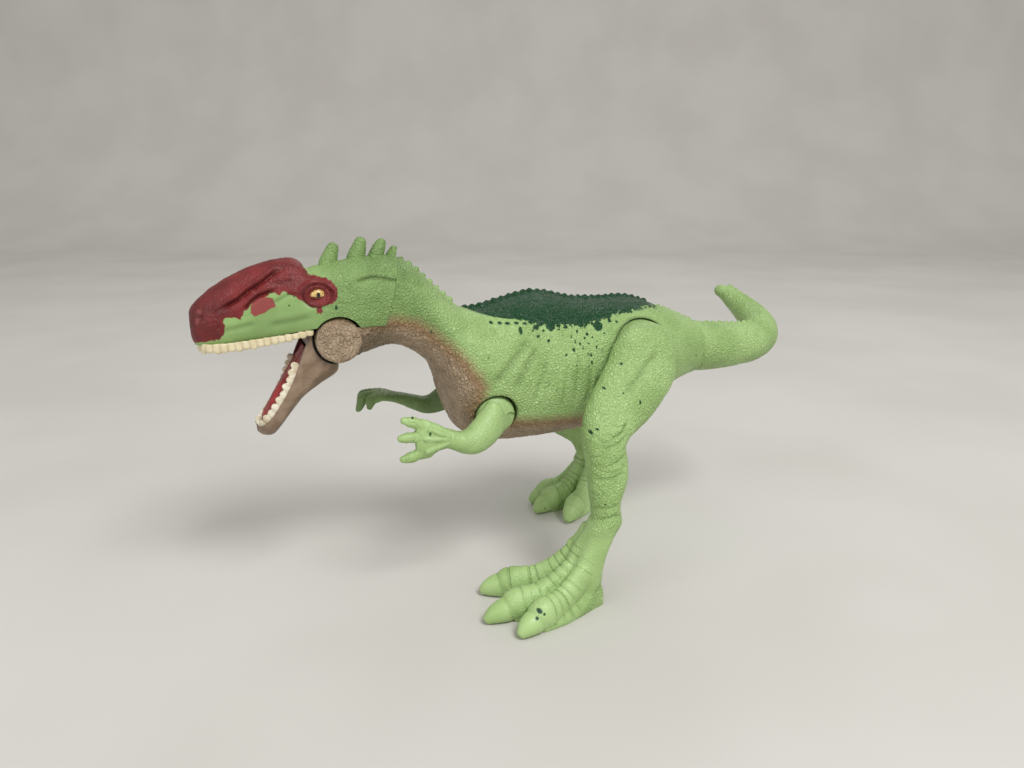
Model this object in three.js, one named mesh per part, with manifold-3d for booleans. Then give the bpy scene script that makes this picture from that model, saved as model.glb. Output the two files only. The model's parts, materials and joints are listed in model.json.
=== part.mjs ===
// A toy of a two-legged dinosaur with a long crest on its snout, made of moulded pieces that are
// screwed together. Millimetres, +Z up. The snout points along -X and the toy's left is -Y.
// Tables give places as shares of the named sizes of the piece that they belong to.
import * as THREE from 'three';
import { mergeVertices } from 'three/addons/utils/BufferGeometryUtils.js';
import Module from 'manifold-3d';

const wasm = await Module();
wasm.setup();

// Driving sizes of the figure
const hipHeight = 52.8;
const trunkLength = 80;
const trunkDepth = 35;
const trunkHalfWidth = 14;
const headLength = 28.5;
const headHeight = 16.8;
const headHalfWidth = 8.9;
const jawLength = 25.5;
const jawDepth = 8;
const jawHalfWidth = 7.3;
const tailLength = 58;
const tailRadius = 6.5;
const armReach = 23;
const armThickness = 4.4;
const legReach = 20;
const legHalfWidth = 5;
const ankleOut = 27;
const footReach = 27.4;
const toeRadius = 4;

// Walls and clearances
const wall = 2;
const seatGap = 0.3;
const halfSplitGap = 0.15;
const turnGap = 0.45;
const overrun = 12;
const mergeTolerance = 1e-4;

// Hip joints
const hipDiscRadius = 8;
const hipSeat = 9.3;
const hipPegRadius = 2.6;
const hipDiscFlush = 14;
const hipDiscOut = 18;

// Shoulder joints
const armDiscRadius = 4.3;
const armSeat = 8.6;
const armPegRadius = 1.8;
const armDiscFlush = 11.6;
const armDiscOut = 13.2;

// Jaw hinge
const lobeRadius = 4.8;
const lobeOut = 8.2;
const barrelRadius = 3.4;
const barrelHalfLength = 4;
const jawPinRadius = 1;
const jawPinHalfLength = 7.2;
const jawRoomShare = 0.925;

// Head joint and lips; the peg's shares are of headHeight, and the jaw room's share is of jawDepth
const neckPegShare = 0.25;
const neckPegUpShare = 0.566;
const neckPegLength = 5;
const lipWall = 1.6;
const palateHeight = 3.2;
const gumHeight = 0.5;

// Tail swivel
const tailNeckRadius = 3;
const tailNeckLength = 3.6;
const tailFlangeRadius = 4.3;
const tailFlangeThickness = 1.8;

// Fasteners
const washerThickness = 0.9;
const hipWasherRadius = 4.2;
const armWasherRadius = 3.2;
const screwHeadRadius = 1.9;
const screwHeadHeight = 1.1;
const screwShankRadius = 0.8;
const screwFit = 0.2;
const limbScrewLength = 5;
const trunkScrewLength = 9;
const trunkScrewFloor = 3.4;
const bossRadius = 3.2;
const slotWidth = 0.5;
const slotDepth = 0.5;
const screwCrownShare = 0.7;

// Teeth, claws and skin bumps
const upperToothHeight = 1.6;
const lowerToothHeight = 1.4;
const toothThickness = 1.2;
const toothGapShare = 0.98;
const toothTipShare = 0.66;
const rearToothShare = 0.55;
const bumpRadius = 1.2;
const bumpHeight = 0.6;
const spikeHeight = 4.6;
const browRadius = 2.3;
const upperTeeth = 36;
const lowerTeeth = 25;
const backBumps = 21;
const tailBumps = 9;

// Facets
const trunkSides = 20;
const headSides = 18;
const jawSides = 14;
const limbSides = 14;
const washerSides = 12;
const toeSides = 8;
const roundSides = 18;
const smallSides = 8;
const eyeSides = 12;
const spikeSides = 10;
const bumpSides = 4;

const colours = {
  skin: 0x9fcf62, head: 0x8fce78, beige: 0xab8a70, mouth: 0x9c3a38, teeth: 0xe6dcae,
  red: 0x8e2f2c, steel: 0xb8bcc0, pin: 0xd0d2d4,
};

const acrossY = new THREE.Vector3(0, 1, 0);
const upZ = new THREE.Vector3(0, 0, 1);
const backX = new THREE.Vector3(1, 0, 0);

function point(x, y, z) {
  return new THREE.Vector3(x, y, z);
}

// Closed three.js geometry to a solid, with its faces turned outward
function solidOf(geometry) {
  const bare = geometry.clone();
  bare.deleteAttribute('normal');
  bare.deleteAttribute('uv');
  const merged = mergeVertices(bare, mergeTolerance);
  const kept = [];
  const index = merged.index.array;
  for (let i = 0; i < index.length; i += 3) {
    const [a, b, c] = [index[i], index[i + 1], index[i + 2]];
    if (a !== b && b !== c && c !== a) kept.push(a, b, c);
  }
  if (signedVolume(merged.attributes.position, kept) < 0) kept.reverse();
  return new wasm.Manifold(new wasm.Mesh({
    numProp: 3,
    vertProperties: new Float32Array(merged.attributes.position.array),
    triVerts: new Uint32Array(kept),
  }));
}

function geometryOf(solid) {
  const mesh = solid.getMesh();
  const geometry = new THREE.BufferGeometry();
  geometry.setAttribute('position', new THREE.BufferAttribute(new Float32Array(mesh.vertProperties), 3));
  geometry.setIndex(new THREE.BufferAttribute(new Uint32Array(mesh.triVerts), 1));
  geometry.computeVertexNormals();
  return geometry;
}

function joined(solids) {
  return solids.reduce((sum, solid) => sum.add(solid));
}

function centreOf(ring) {
  const centre = point(0, 0, 0);
  ring.forEach((p) => centre.add(p));
  return centre.divideScalar(ring.length);
}

function signedVolume(positions, faces) {
  const corner = (i) => new THREE.Vector3().fromBufferAttribute(positions, faces[i]);
  let volume = 0;
  for (let i = 0; i < faces.length; i += 3) {
    volume += corner(i).dot(corner(i + 1).cross(corner(i + 2)));
  }
  return volume;
}

// Solid skinned through rings of equally many points and closed at both ends
function skin(rings) {
  const count = rings[0].length;
  const points = rings.flat();
  const faces = [];
  for (let r = 0; r + 1 < rings.length; r += 1) {
    for (let k = 0; k < count; k += 1) {
      const a = r * count + k;
      const b = r * count + (k + 1) % count;
      faces.push(a, b, b + count, a, b + count, a + count);
    }
  }
  const start = points.push(centreOf(rings[0])) - 1;
  const end = points.push(centreOf(rings[rings.length - 1])) - 1;
  const last = (rings.length - 1) * count;
  for (let k = 0; k < count; k += 1) {
    const next = (k + 1) % count;
    faces.push(start, next, k, end, last + k, last + next);
  }
  const places = points.flatMap((p) => p.toArray());
  const geometry = new THREE.BufferGeometry();
  geometry.setAttribute('position', new THREE.Float32BufferAttribute(places, 3));
  geometry.setIndex(faces);
  return solidOf(geometry);
}

function rounded(value, power) {
  return Math.sign(value) * Math.abs(value) ** (2 / power);
}

// Section between two points: half as wide as halfWidth along side, widest at widestShare of the way
function sectionRing(first, second, side, halfWidth, shape, sides) {
  const widest = first.clone().lerp(second, shape.widestShare);
  const ring = [];
  for (let k = 0; k < sides; k += 1) {
    const angle = (2 * Math.PI * k) / sides;
    const along = rounded(Math.cos(angle), shape.power);
    const across = rounded(Math.sin(angle), shape.power);
    const towards = along > 0 ? first : second;
    ring.push(widest.clone().lerp(towards, Math.abs(along)).addScaledVector(side, across * halfWidth));
  }
  return ring;
}

// Rows between the rows of a table, on smooth curves through them
function refined(rows, steps) {
  const result = [];
  for (let r = 0; r + 1 < rows.length; r += 1) {
    const [before, from, to, after] = [r - 1, r, r + 1, r + 2].map((i) => {
      return rows[Math.min(Math.max(i, 0), rows.length - 1)];
    });
    for (let s = 0; s < steps; s += 1) {
      const t = s / steps;
      result.push(from.map((value, c) => smoothBetween(before[c], value, to[c], after[c], t)));
    }
  }
  result.push(rows[rows.length - 1]);
  return result;
}

// Smooth curve from b to c, with the slopes that a and d give it
function smoothBetween(a, b, c, d, t) {
  const slopeB = (c - a) / 2;
  const slopeC = (d - b) / 2;
  const bend = 3 * (c - b) - 2 * slopeB - slopeC;
  const twist = 2 * (b - c) + slopeB + slopeC;
  return b + t * (slopeB + t * (bend + t * twist));
}

// Solid along a line of centres; each stop gives its centre and half sizes along up and across it
function limb(stops, upHint, sides, power = 2) {
  const rings = stops.map((stop, i) => {
    const before = stops[Math.max(i - 1, 0)].centre;
    const after = stops[Math.min(i + 1, stops.length - 1)].centre;
    const ahead = after.clone().sub(before).normalize();
    const up = upHint.clone().addScaledVector(ahead, -upHint.dot(ahead)).normalize();
    const across = new THREE.Vector3().crossVectors(ahead, up);
    const ring = [];
    for (let k = 0; k < sides; k += 1) {
      const angle = (2 * Math.PI * k) / sides;
      const rise = rounded(Math.cos(angle), power) * stop.up;
      const width = rounded(Math.sin(angle), power) * stop.across;
      ring.push(stop.centre.clone().addScaledVector(up, rise).addScaledVector(across, width));
    }
    return ring;
  });
  return skin(rings);
}

// Cylinder from one point to another
function rod(from, to, radius, sides = roundSides) {
  const geometry = new THREE.CylinderGeometry(radius, radius, from.distanceTo(to), sides);
  const turn = new THREE.Quaternion().setFromUnitVectors(acrossY, to.clone().sub(from).normalize());
  geometry.applyQuaternion(turn);
  const middle = from.clone().add(to).multiplyScalar(1 / 2);
  geometry.translate(middle.x, middle.y, middle.z);
  return solidOf(geometry);
}

// Cylinder across the toy at a place of its side view, between two distances from the middle
function crossRod(place, near, far, radius, sides = roundSides) {
  return rod(point(place.x, near, place.z), point(place.x, far, place.z), radius, sides);
}

// Block between two corners
function block(low, high) {
  const size = high.clone().sub(low);
  const geometry = new THREE.BoxGeometry(size.x, size.y, size.z);
  const middle = low.clone().add(high).multiplyScalar(1 / 2);
  geometry.translate(middle.x, middle.y, middle.z);
  return solidOf(geometry);
}

// Side-view outline made as thick as twice halfWidth across the toy
function sideProfile(places, halfWidth) {
  const shape = new THREE.Shape(places.map((p) => new THREE.Vector2(p.x, p.z)));
  const geometry = new THREE.ExtrudeGeometry(shape, { depth: 2 * halfWidth, bevelEnabled: false });
  geometry.rotateX(Math.PI / 2);
  geometry.translate(0, halfWidth, 0);
  return solidOf(geometry);
}

// Dome of a limb disc: radius and rise
const domeShares = [[1, 0], [0.94, 0.333], [0.76, 0.667], [0.4, 1], [0, 1]];

// Limb disc that turns in its recess, domed outside the trunk
function limbDisc(place, side, radius, inner, flush, outer) {
  const dome = domeShares.map(([across, rise]) => [radius * across, flush + (outer - flush) * rise]);
  return lathed([[0, inner], [radius, inner], ...dome], place, point(0, side, 0), roundSides);
}

// Along a spike from its root to its blunt tip: place, half height and half width
const spikeStopShares = [[0, 1, 1], [0.6, 0.72, 0.62], [1, 0.45, 0.45]];

// Blunt cone that leans from its root to its tip
function spike(root, tip, radius, sides) {
  const stops = spikeStopShares.map(([share, up, across]) => {
    return { centre: root.clone().lerp(tip, share), up: up * radius, across: across * radius };
  });
  return limb(stops, acrossY, sides);
}

// Block-shaped tooth with its root centred on place, growing along out
function tooth(place, ahead, out, width, height) {
  const across = new THREE.Vector3().crossVectors(ahead, out).normalize();
  const corners = [[-1, -1], [1, -1], [1, 1], [-1, 1]];
  const rings = [[-gumHeight / 2, 1], [height, toothTipShare]].map(([rise, share]) => {
    return corners.map(([u, v]) => {
      return place.clone().addScaledVector(out, rise)
        .addScaledVector(ahead, (u * width * share) / 2)
        .addScaledVector(across, (v * toothThickness * share) / 2);
    });
  });
  return skin(rings);
}

// Row of teeth spread evenly along a curve, smaller towards both ends of it
function toothRow(curve, count, out, height) {
  const width = (curve.getLength() / count) * toothGapShare;
  const teeth = [];
  for (let i = 0; i < count; i += 1) {
    const share = (i + 1 / 2) / count;
    const toEnd = Math.abs(2 * share - 1);
    const tall = height * (1 - toEnd * (1 - rearToothShare));
    teeth.push(tooth(curve.getPointAt(share), curve.getTangentAt(share), out, width, tall));
  }
  return joined(teeth);
}

function lathed(profile, place, axis, sides = smallSides) {
  const outline = profile.map(([r, y]) => new THREE.Vector2(r, y));
  const geometry = new THREE.LatheGeometry(outline, sides);
  geometry.applyQuaternion(new THREE.Quaternion().setFromUnitVectors(acrossY, axis));
  geometry.translate(place.x, place.y, place.z);
  return solidOf(geometry);
}

// Pan-head screw: place is the underside of its head, and into points along its shank
function screw(place, into, length) {
  const taper = screwShankRadius / 2;
  const body = lathed([
    [0, length], [taper, length], [screwShankRadius, length - screwHeadHeight], [screwShankRadius, 0],
    [screwHeadRadius, 0], [screwHeadRadius, -screwHeadHeight / 2],
    [screwHeadRadius * screwCrownShare, -screwHeadHeight], [0, -screwHeadHeight],
  ], place, into);
  const top = place.clone().addScaledVector(into, -screwHeadHeight);
  const reach = point(screwHeadRadius, slotDepth, slotWidth / 2);
  return body.subtract(block(top.clone().sub(reach), top.clone().add(reach)));
}

function washer(place, into, outer, inner) {
  return lathed([
    [inner, 0], [outer, 0], [outer, washerThickness], [inner, washerThickness], [inner, 0],
  ], place, into, washerSides);
}

// Place on the trunk's side view
function trunkPlace([along, up]) {
  return point(along * trunkLength, 0, hipHeight + up * trunkDepth);
}

const hip = trunkPlace([0.0275, 0.004]);
const shoulder = trunkPlace([-0.422, -0.314]);
const jawHinge = trunkPlace([-0.839, 0.217]);
const seamTop = trunkPlace([-0.664, 0.68]);
const seamLow = trunkPlace([-0.714, 0.297]);
const tailSeam = trunkPlace([0.296, -0.045]);
const cheekShare = 0.155;
const cheekLine = jawHinge.z + cheekShare * headHeight;
const seamUp = seamTop.clone().sub(seamLow).normalize();
const seamOut = new THREE.Vector3().crossVectors(seamUp, acrossY).normalize();

// Trunk and neck from the tail to the throat: top along, top up, low along, low up, width, roundness
const trunkShares = [
  [0.296, 0.146, 0.296, -0.236, 0.48, 2.1],
  [0.25, 0.19, 0.24, -0.264, 0.6, 2.2],
  [0.163, 0.271, 0.131, -0.35, 0.8, 2.5],
  [0.056, 0.346, 0.031, -0.45, 0.95, 2.6],
  [-0.044, 0.351, -0.069, -0.525, 0.99, 2.5],
  [-0.138, 0.363, -0.181, -0.558, 0.97, 2.3],
  [-0.25, 0.417, -0.294, -0.575, 0.98, 2.2],
  [-0.35, 0.383, -0.406, -0.56, 0.96, 2.1],
  [-0.431, 0.337, -0.498, -0.466, 0.88, 2.1],
  [-0.485, 0.349, -0.543, -0.237, 0.77, 2.1],
  [-0.531, 0.434, -0.569, -0.037, 0.67, 2.1],
  [-0.581, 0.54, -0.619, 0.074, 0.6, 2.1],
  [-0.631, 0.64, -0.675, 0.134, 0.56, 2.2],
  [-0.673, 0.689, -0.738, 0.117, 0.56, 2.3],
  [-0.731, 0.69, -0.794, 0.077, 0.58, 2.4],
  [-0.78, 0.69, -0.822, 0.069, 0.585, 2.4],
];
const cavityFirst = 2;
const cavityLast = 12;
const backBumpShares = [0.02, 0.86];

// Rings of the trunk, drawn in by inset
function trunkRings(rows, inset, sides) {
  return rows.map(([topAlong, topUp, lowAlong, lowUp, width, power]) => {
    const top = trunkPlace([topAlong, topUp]);
    const low = trunkPlace([lowAlong, lowUp]);
    const down = low.clone().sub(top).normalize();
    top.addScaledVector(down, inset);
    low.addScaledVector(down, -inset);
    const shape = { widestShare: 0.5, power };
    return sectionRing(top, low, acrossY, width * trunkHalfWidth - inset, shape, sides);
  });
}

function bump(root, tip) {
  const stops = [
    { centre: root, up: bumpRadius, across: bumpRadius },
    { centre: tip, up: bumpRadius / 2, across: bumpRadius / 2 },
  ];
  return limb(stops, acrossY, bumpSides);
}

// Small bumps along a ridge line, from one share of its length to another
function ridgeBumps(places, count, [fromShare, toShare]) {
  const ridge = new THREE.CatmullRomCurve3(places);
  const bumps = [];
  for (let i = 0; i < count; i += 1) {
    const share = fromShare + ((toShare - fromShare) * i) / (count - 1);
    const foot = ridge.getPointAt(share);
    const ahead = ridge.getTangentAt(share);
    const up = upZ.clone().addScaledVector(ahead, -upZ.dot(ahead)).normalize();
    const root = foot.clone().addScaledVector(up, -bumpRadius / 2);
    bumps.push(bump(root, foot.clone().addScaledVector(up, bumpHeight)));
  }
  return bumps;
}

// What the head covers: all in front of the neck seam and above the cheek line
function headZone(gap) {
  const low = seamLow.clone().addScaledVector(seamOut, gap);
  const far = jawHinge.x - overrun;
  const top = seamTop.z + overrun;
  const slope = (seamTop.x - seamLow.x) / (seamTop.z - seamLow.z);
  const line = cheekLine + gap;
  const corner = point(low.x - (low.z - line) * slope, 0, line);
  const upper = point(low.x + (top - low.z) * slope, 0, top);
  return sideProfile([corner, upper, point(far, 0, top), point(far, 0, line)], overrun);
}

function jawLobes(radius, near, far) {
  return joined([crossRod(jawHinge, near, far, radius), crossRod(jawHinge, -far, -near, radius)]);
}

// Screws that close the trunk, in its side view
const trunkScrewShares = [[-0.588, 0.32], [-0.27, 0.15], [-0.3, -0.38], [0.178, -0.06]];
const trunkScrews = trunkScrewShares.map((place) => trunkPlace(place));

// Both half shells in one, before the split
function trunkBody() {
  const outer = skin(trunkRings(trunkShares, 0, trunkSides));
  const inner = skin(trunkRings(trunkShares.slice(cavityFirst, cavityLast), wall, smallSides));
  const pads = [];
  for (const side of [-1, 1]) {
    const out = side * trunkHalfWidth;
    pads.push(crossRod(hip, side * (hipSeat - wall), out, hipDiscRadius + turnGap + wall));
    pads.push(crossRod(shoulder, side * (armSeat - wall), out, armDiscRadius + turnGap + wall));
  }
  for (const place of trunkScrews) {
    pads.push(crossRod(place, -trunkHalfWidth, trunkHalfWidth, bossRadius, smallSides));
  }
  const hollow = outer.subtract(inner).add(joined(pads).intersect(outer));
  const topLine = trunkShares.map(([along, up]) => trunkPlace([along, up]));
  const bumps = joined(ridgeBumps(topLine, backBumps, backBumpShares));
  const covered = hollow.add(bumps).subtract(headZone(0));
  const throat = joined([crossRod(jawHinge, -lobeOut, lobeOut, lobeRadius), neckPeg(0)]);
  return covered.add(throat);
}

// Round peg on the neck that the head is pushed over; grow makes the hole that takes it
function neckPeg(grow) {
  const rise = (jawHinge.z + neckPegUpShare * headHeight - seamLow.z) / seamUp.z;
  const middle = seamLow.clone().addScaledVector(seamUp, rise);
  const from = middle.clone().addScaledVector(seamOut, -wall);
  const to = middle.clone().addScaledVector(seamOut, neckPegLength + grow);
  return rod(from, to, neckPegShare * headHeight + grow);
}

// Space for the jaw's barrel between the lobes, open to the front
function barrelSlot() {
  const reach = barrelHalfLength + turnGap;
  const front = block(
    point(jawHinge.x - overrun, -reach, jawHinge.z - overrun),
    point(jawHinge.x + jawPinRadius, reach, jawHinge.z + overrun),
  );
  return crossRod(jawHinge, -reach, reach, barrelRadius + turnGap).add(front);
}

// Recesses, bores and screw holes of the trunk
function trunkCuts() {
  const cuts = [barrelSlot()];
  const outside = trunkHalfWidth + overrun;
  for (const side of [-1, 1]) {
    cuts.push(crossRod(hip, side * hipSeat, side * outside, hipDiscRadius + turnGap));
    const hipDeep = hipSeat - wall - seatGap;
    cuts.push(crossRod(hip, side * hipDeep, side * hipSeat, hipPegRadius + seatGap));
    cuts.push(crossRod(shoulder, side * armSeat, side * outside, armDiscRadius + turnGap));
    const armDeep = armSeat - wall - seatGap;
    cuts.push(crossRod(shoulder, side * armDeep, side * armSeat, armPegRadius + seatGap));
  }
  cuts.push(crossRod(hip, wall - hipSeat, hipSeat - wall, hipWasherRadius + seatGap));
  cuts.push(crossRod(shoulder, wall - armSeat, armSeat - wall, armWasherRadius + seatGap));
  const pilotEnd = trunkScrewFloor - trunkScrewLength;
  for (const place of trunkScrews) {
    cuts.push(crossRod(place, pilotEnd, overrun, screwShankRadius + screwFit, smallSides));
    cuts.push(crossRod(place, trunkScrewFloor, outside, screwHeadRadius + seatGap, smallSides));
  }
  const pinEnd = jawPinHalfLength + seatGap;
  cuts.push(crossRod(jawHinge, -pinEnd, pinEnd, jawPinRadius + screwFit));
  cuts.push(tailPlug(seatGap));
  return joined(cuts);
}

function shellHalf(trunk, side) {
  const near = side * halfSplitGap;
  const far = side * (trunkHalfWidth + overrun);
  const low = point(-2 * trunkLength, Math.min(near, far), 0);
  const high = point(trunkLength, Math.max(near, far), 2 * hipHeight);
  return trunk.intersect(block(low, high));
}

// Plug of the tail with its trapped flange; grow makes the socket that holds it
function tailPlug(grow) {
  const face = tailSeam.x + overrun * Math.sign(grow);
  const neckEnd = tailSeam.x - tailNeckLength;
  const flangeEnd = neckEnd - tailFlangeThickness;
  const neck = rod(
    point(face + seatGap, 0, tailSeam.z),
    point(neckEnd - seatGap, 0, tailSeam.z),
    tailNeckRadius + grow,
  );
  const flange = rod(
    point(neckEnd + grow, 0, tailSeam.z),
    point(flangeEnd - grow, 0, tailSeam.z),
    tailFlangeRadius + grow,
  );
  return neck.add(flange);
}

// Tail: back, sideways, up, height and width of its section
const tailShares = [
  [-0.02, 0, 0, 1.03, 1.03],
  [0.1, 0, -0.012, 0.95, 0.96],
  [0.225, 0, -0.014, 0.87, 0.88],
  [0.33, 0.008, -0.008, 0.81, 0.82],
  [0.398, 0.035, 0.008, 0.75, 0.76],
  [0.438, 0.085, 0.033, 0.7, 0.71],
  [0.457, 0.15, 0.062, 0.64, 0.65],
  [0.457, 0.215, 0.093, 0.56, 0.57],
  [0.443, 0.275, 0.128, 0.47, 0.47],
  [0.424, 0.32, 0.158, 0.39, 0.39],
  [0.393, 0.345, 0.178, 0.25, 0.25],
];
const tailBumpShares = [0.05, 0.88];

function tailPlace([back, side, up]) {
  return point(back, side, up).multiplyScalar(tailLength).add(tailSeam).addScaledVector(backX, seatGap);
}

function tail() {
  const stops = refined(tailShares, 2).map((row) => {
    return { centre: tailPlace(row), up: row[3] * tailRadius, across: row[4] * tailRadius };
  });
  const ridge = tailShares.slice(1, -1).map((row) => {
    return tailPlace(row).addScaledVector(upZ, row[3] * tailRadius);
  });
  const bumps = ridgeBumps(ridge, tailBumps, tailBumpShares);
  const seam = tailSeam.x + seatGap;
  const trunkSide = block(
    point(seam - overrun, -overrun, tailSeam.z - overrun),
    point(seam, overrun, tailSeam.z + overrun),
  );
  return joined([limb(stops, upZ, limbSides), ...bumps]).subtract(trunkSide).add(tailPlug(0));
}

// Place on the head's side view, from the jaw hinge
function headPlace([ahead, up]) {
  return point(jawHinge.x - ahead * headLength, 0, jawHinge.z + up * headHeight);
}

// Head from the neck to the snout: ahead, top up, low up, width, roundness
const headShares = [
  [-0.65, 0.93, -0.14, 0.855, 2.3],
  [-0.51, 0.985, -0.14, 0.88, 2.3],
  [-0.34, 0.985, -0.14, 0.93, 2.3],
  [-0.16, 0.965, -0.14, 0.995, 2.3],
  [0.014, 0.915, -0.14, 0.985, 2.3],
  [0.12, 0.885, -0.14, 0.93, 2.3],
  [0.175, 0.865, -0.14, 0.89, 2.3],
  [0.21, 0.94, -0.13, 0.85, 2.2],
  [0.277, 1, -0.12, 0.79, 2.2],
  [0.38, 0.992, -0.12, 0.72, 2.2],
  [0.53, 0.93, -0.12, 0.66, 2.2],
  [0.695, 0.82, -0.11, 0.63, 2.2],
  [0.835, 0.68, -0.1, 0.6, 2.2],
  [0.935, 0.55, -0.06, 0.53, 2.2],
  [0.982, 0.47, 0, 0.42, 2.2],
  [1.003, 0.38, 0.1, 0.24, 2.1],
];

// Lip line from the snout to the corner of the mouth: ahead, up
const lipShares = [
  [1.2, 0.045], [0.97, 0.06], [0.785, 0.07], [0.55, 0.105], [0.355, 0.125], [0.13, 0.175],
];

function headRings(rows, inset) {
  return rows.map(([ahead, topUp, lowUp, width, power]) => {
    const top = headPlace([ahead, topUp]).addScaledVector(upZ, -inset);
    const shape = { widestShare: 0.56, power };
    const halfWidth = width * headHalfWidth - inset;
    return sectionRing(top, headPlace([ahead, lowUp]), acrossY, halfWidth, shape, headSides);
  });
}

// Everything below the lip line, or a band under it when height is given
function underLip(drop, height) {
  const edge = lipShares.map((place) => headPlace(place).addScaledVector(upZ, -drop));
  const lower = edge.map((p) => point(p.x, 0, p.z - height)).reverse();
  return sideProfile([...edge, ...lower], overrun);
}

// Crown spikes: root ahead, root up, tip ahead, tip up, thickness
const spikeShares = [
  [0.02, 0.9, -0.045, 1.165, 0.4],
  [-0.185, 0.93, -0.25, 1.23, 0.42],
  [-0.33, 0.96, -0.39, 1.21, 0.34],
  [-0.455, 0.965, -0.49, 1.1, 0.28],
];

function crownSpikes() {
  return spikeShares.map(([rootAhead, rootUp, tipAhead, tipUp, thick]) => {
    const tip = headPlace([tipAhead, tipUp]);
    return spike(headPlace([rootAhead, rootUp]), tip, thick * spikeHeight, spikeSides);
  });
}

// Place of the eyes: ahead and up, and how far out as a share of headHalfWidth
const eyeShares = [0.13, 0.583];
const eyeOutShare = 0.79;

// Eyeball in a raised ring: radius and how far out, as shares of browRadius
const eyeMoundShares = [
  [0, -0.87], [1.33, -0.87], [1.33, 0], [1.23, 0.23], [1, 0.33],
  [0.77, 0.23], [0.65, 0.04], [0.43, 0.27], [0, 0.41],
];

function eyes() {
  const centre = headPlace(eyeShares);
  const mound = eyeMoundShares.map(([radius, out]) => [radius * browRadius, out * browRadius]);
  return [-1, 1].map((side) => {
    const place = point(centre.x, side * headHalfWidth * eyeOutShare, centre.z);
    return lathed(mound, place, point(0, side, 0), eyeSides);
  });
}

// Roof of the mouth: where it starts and ends ahead, and how high its middle lies
const roofStartShare = 0.25;
const roofEndShare = 0.95;
const roofUpShare = 0.1;

function mouthRoof(inset) {
  const rows = headShares.filter(([ahead]) => ahead > roofStartShare && ahead < roofEndShare);
  const rings = rows.map(([ahead, , , width]) => {
    const lip = headPlace([ahead, roofUpShare]);
    const top = point(lip.x, 0, lip.z + palateHeight - inset);
    const low = point(lip.x, 0, lip.z - palateHeight);
    const halfWidth = width * headHalfWidth - lipWall - inset;
    return sectionRing(top, low, acrossY, halfWidth, { widestShare: 0.6, power: 3 }, jawSides);
  });
  return skin(rings);
}

function headShell() {
  const outer = skin(headRings(headShares, 0));
  const skull = joined([outer, ...eyes(), ...crownSpikes()]);
  const behindAndBelow = headZone(seatGap);
  const throatSide = sideProfile([
    point(seamTop.x + overrun * 2, 0, 0), point(seamTop.x + overrun * 2, 0, 2 * hipHeight),
    point(jawHinge.x, 0, 2 * hipHeight), point(jawHinge.x, 0, 0),
  ], overrun);
  const overThroat = skull.intersect(throatSide).intersect(behindAndBelow);
  const snout = skull.subtract(throatSide).subtract(underLip(0, overrun));
  const room = joined([
    mouthRoof(0),
    crossRod(jawHinge, -jawHalfWidth + seatGap, jawHalfWidth - seatGap, jawRoomShare * jawDepth),
    crossRod(jawHinge, -overrun, overrun, lobeRadius + turnGap),
    neckPeg(seatGap),
  ]);
  return overThroat.add(snout).subtract(room);
}

// Line of tooth roots of the upper jaw on one side: ahead, out, up
const upperToothShares = [
  [0.3, 0.6, 0.13], [0.5, 0.56, 0.11], [0.7, 0.535, 0.085],
  [0.85, 0.48, 0.068], [0.93, 0.34, 0.06], [0.955, 0, 0.06],
];

function bothSides(rows, place) {
  const near = rows.map((row) => place(row, -1));
  const far = rows.slice(0, -1).reverse().map((row) => place(row, 1));
  return new THREE.CatmullRomCurve3([...near, ...far]);
}

function palateInsert() {
  const roof = mouthRoof(seatGap).subtract(underLip(gumHeight + seatGap, overrun));
  const rim = skin(headRings(headShares.filter(([ahead]) => ahead > roofStartShare), seatGap))
    .intersect(underLip(seatGap, gumHeight));
  const vault = skin(mouthVaultRings());
  const curve = bothSides(upperToothShares, ([ahead, out, up], side) => {
    const lip = headPlace([ahead, up]);
    return point(lip.x, side * out * headHalfWidth, lip.z - seatGap - gumHeight);
  });
  const teeth = toothRow(curve, upperTeeth, upZ.clone().negate(), upperToothHeight);
  return roof.add(rim).subtract(vault).add(teeth);
}

// Arched hollow under the palate: ahead, up and half width
const vaultShares = [[0.28, 0.08, 0.42], [0.5, 0.08, 0.38], [0.7, 0.08, 0.35], [0.86, 0.08, 0.26]];

function mouthVaultRings() {
  return vaultShares.map(([ahead, up, width]) => {
    const lip = headPlace([ahead, up]);
    const top = point(lip.x, 0, lip.z + palateHeight / 2);
    const low = point(lip.x, 0, lip.z - palateHeight);
    const shape = { widestShare: 0.6, power: 2.4 };
    return sectionRing(top, low, acrossY, width * headHalfWidth, shape, smallSides);
  });
}

// Place in the open jaw's side view: ahead along the jaw from its hinge, up across it
const jawOpening = THREE.MathUtils.degToRad(47);
const jawAhead = point(-Math.cos(jawOpening), 0, -Math.sin(jawOpening));
const jawUp = point(-Math.sin(jawOpening), 0, Math.cos(jawOpening));

function jawPlace(ahead, up) {
  const along = jawHinge.clone().addScaledVector(jawAhead, ahead * jawLength);
  return along.addScaledVector(jawUp, up * jawDepth);
}

// Lower jaw from the hinge to the tip: ahead and up of the rim, ahead and up of the underside, width
const jawShares = [
  [-0.02, 0.62, 0.03, -0.52, 0.8],
  [0.084, 0.67, 0.13, -0.62, 0.9],
  [0.177, 0.53, 0.24, -0.66, 0.95],
  [0.313, 0.32, 0.36, -0.53, 0.96],
  [0.42, 0.22, 0.47, -0.44, 0.92],
  [0.55, 0.15, 0.59, -0.395, 0.86],
  [0.7, 0.1, 0.73, -0.42, 0.79],
  [0.82, 0.08, 0.85, -0.44, 0.7],
  [0.925, 0.1, 0.955, -0.43, 0.55],
  [0.985, 0.15, 1.02, -0.22, 0.3],
];

// Rows of the table that the hollow between the tooth rows spans
const troughFirst = 2;
const troughLast = 9;

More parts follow.
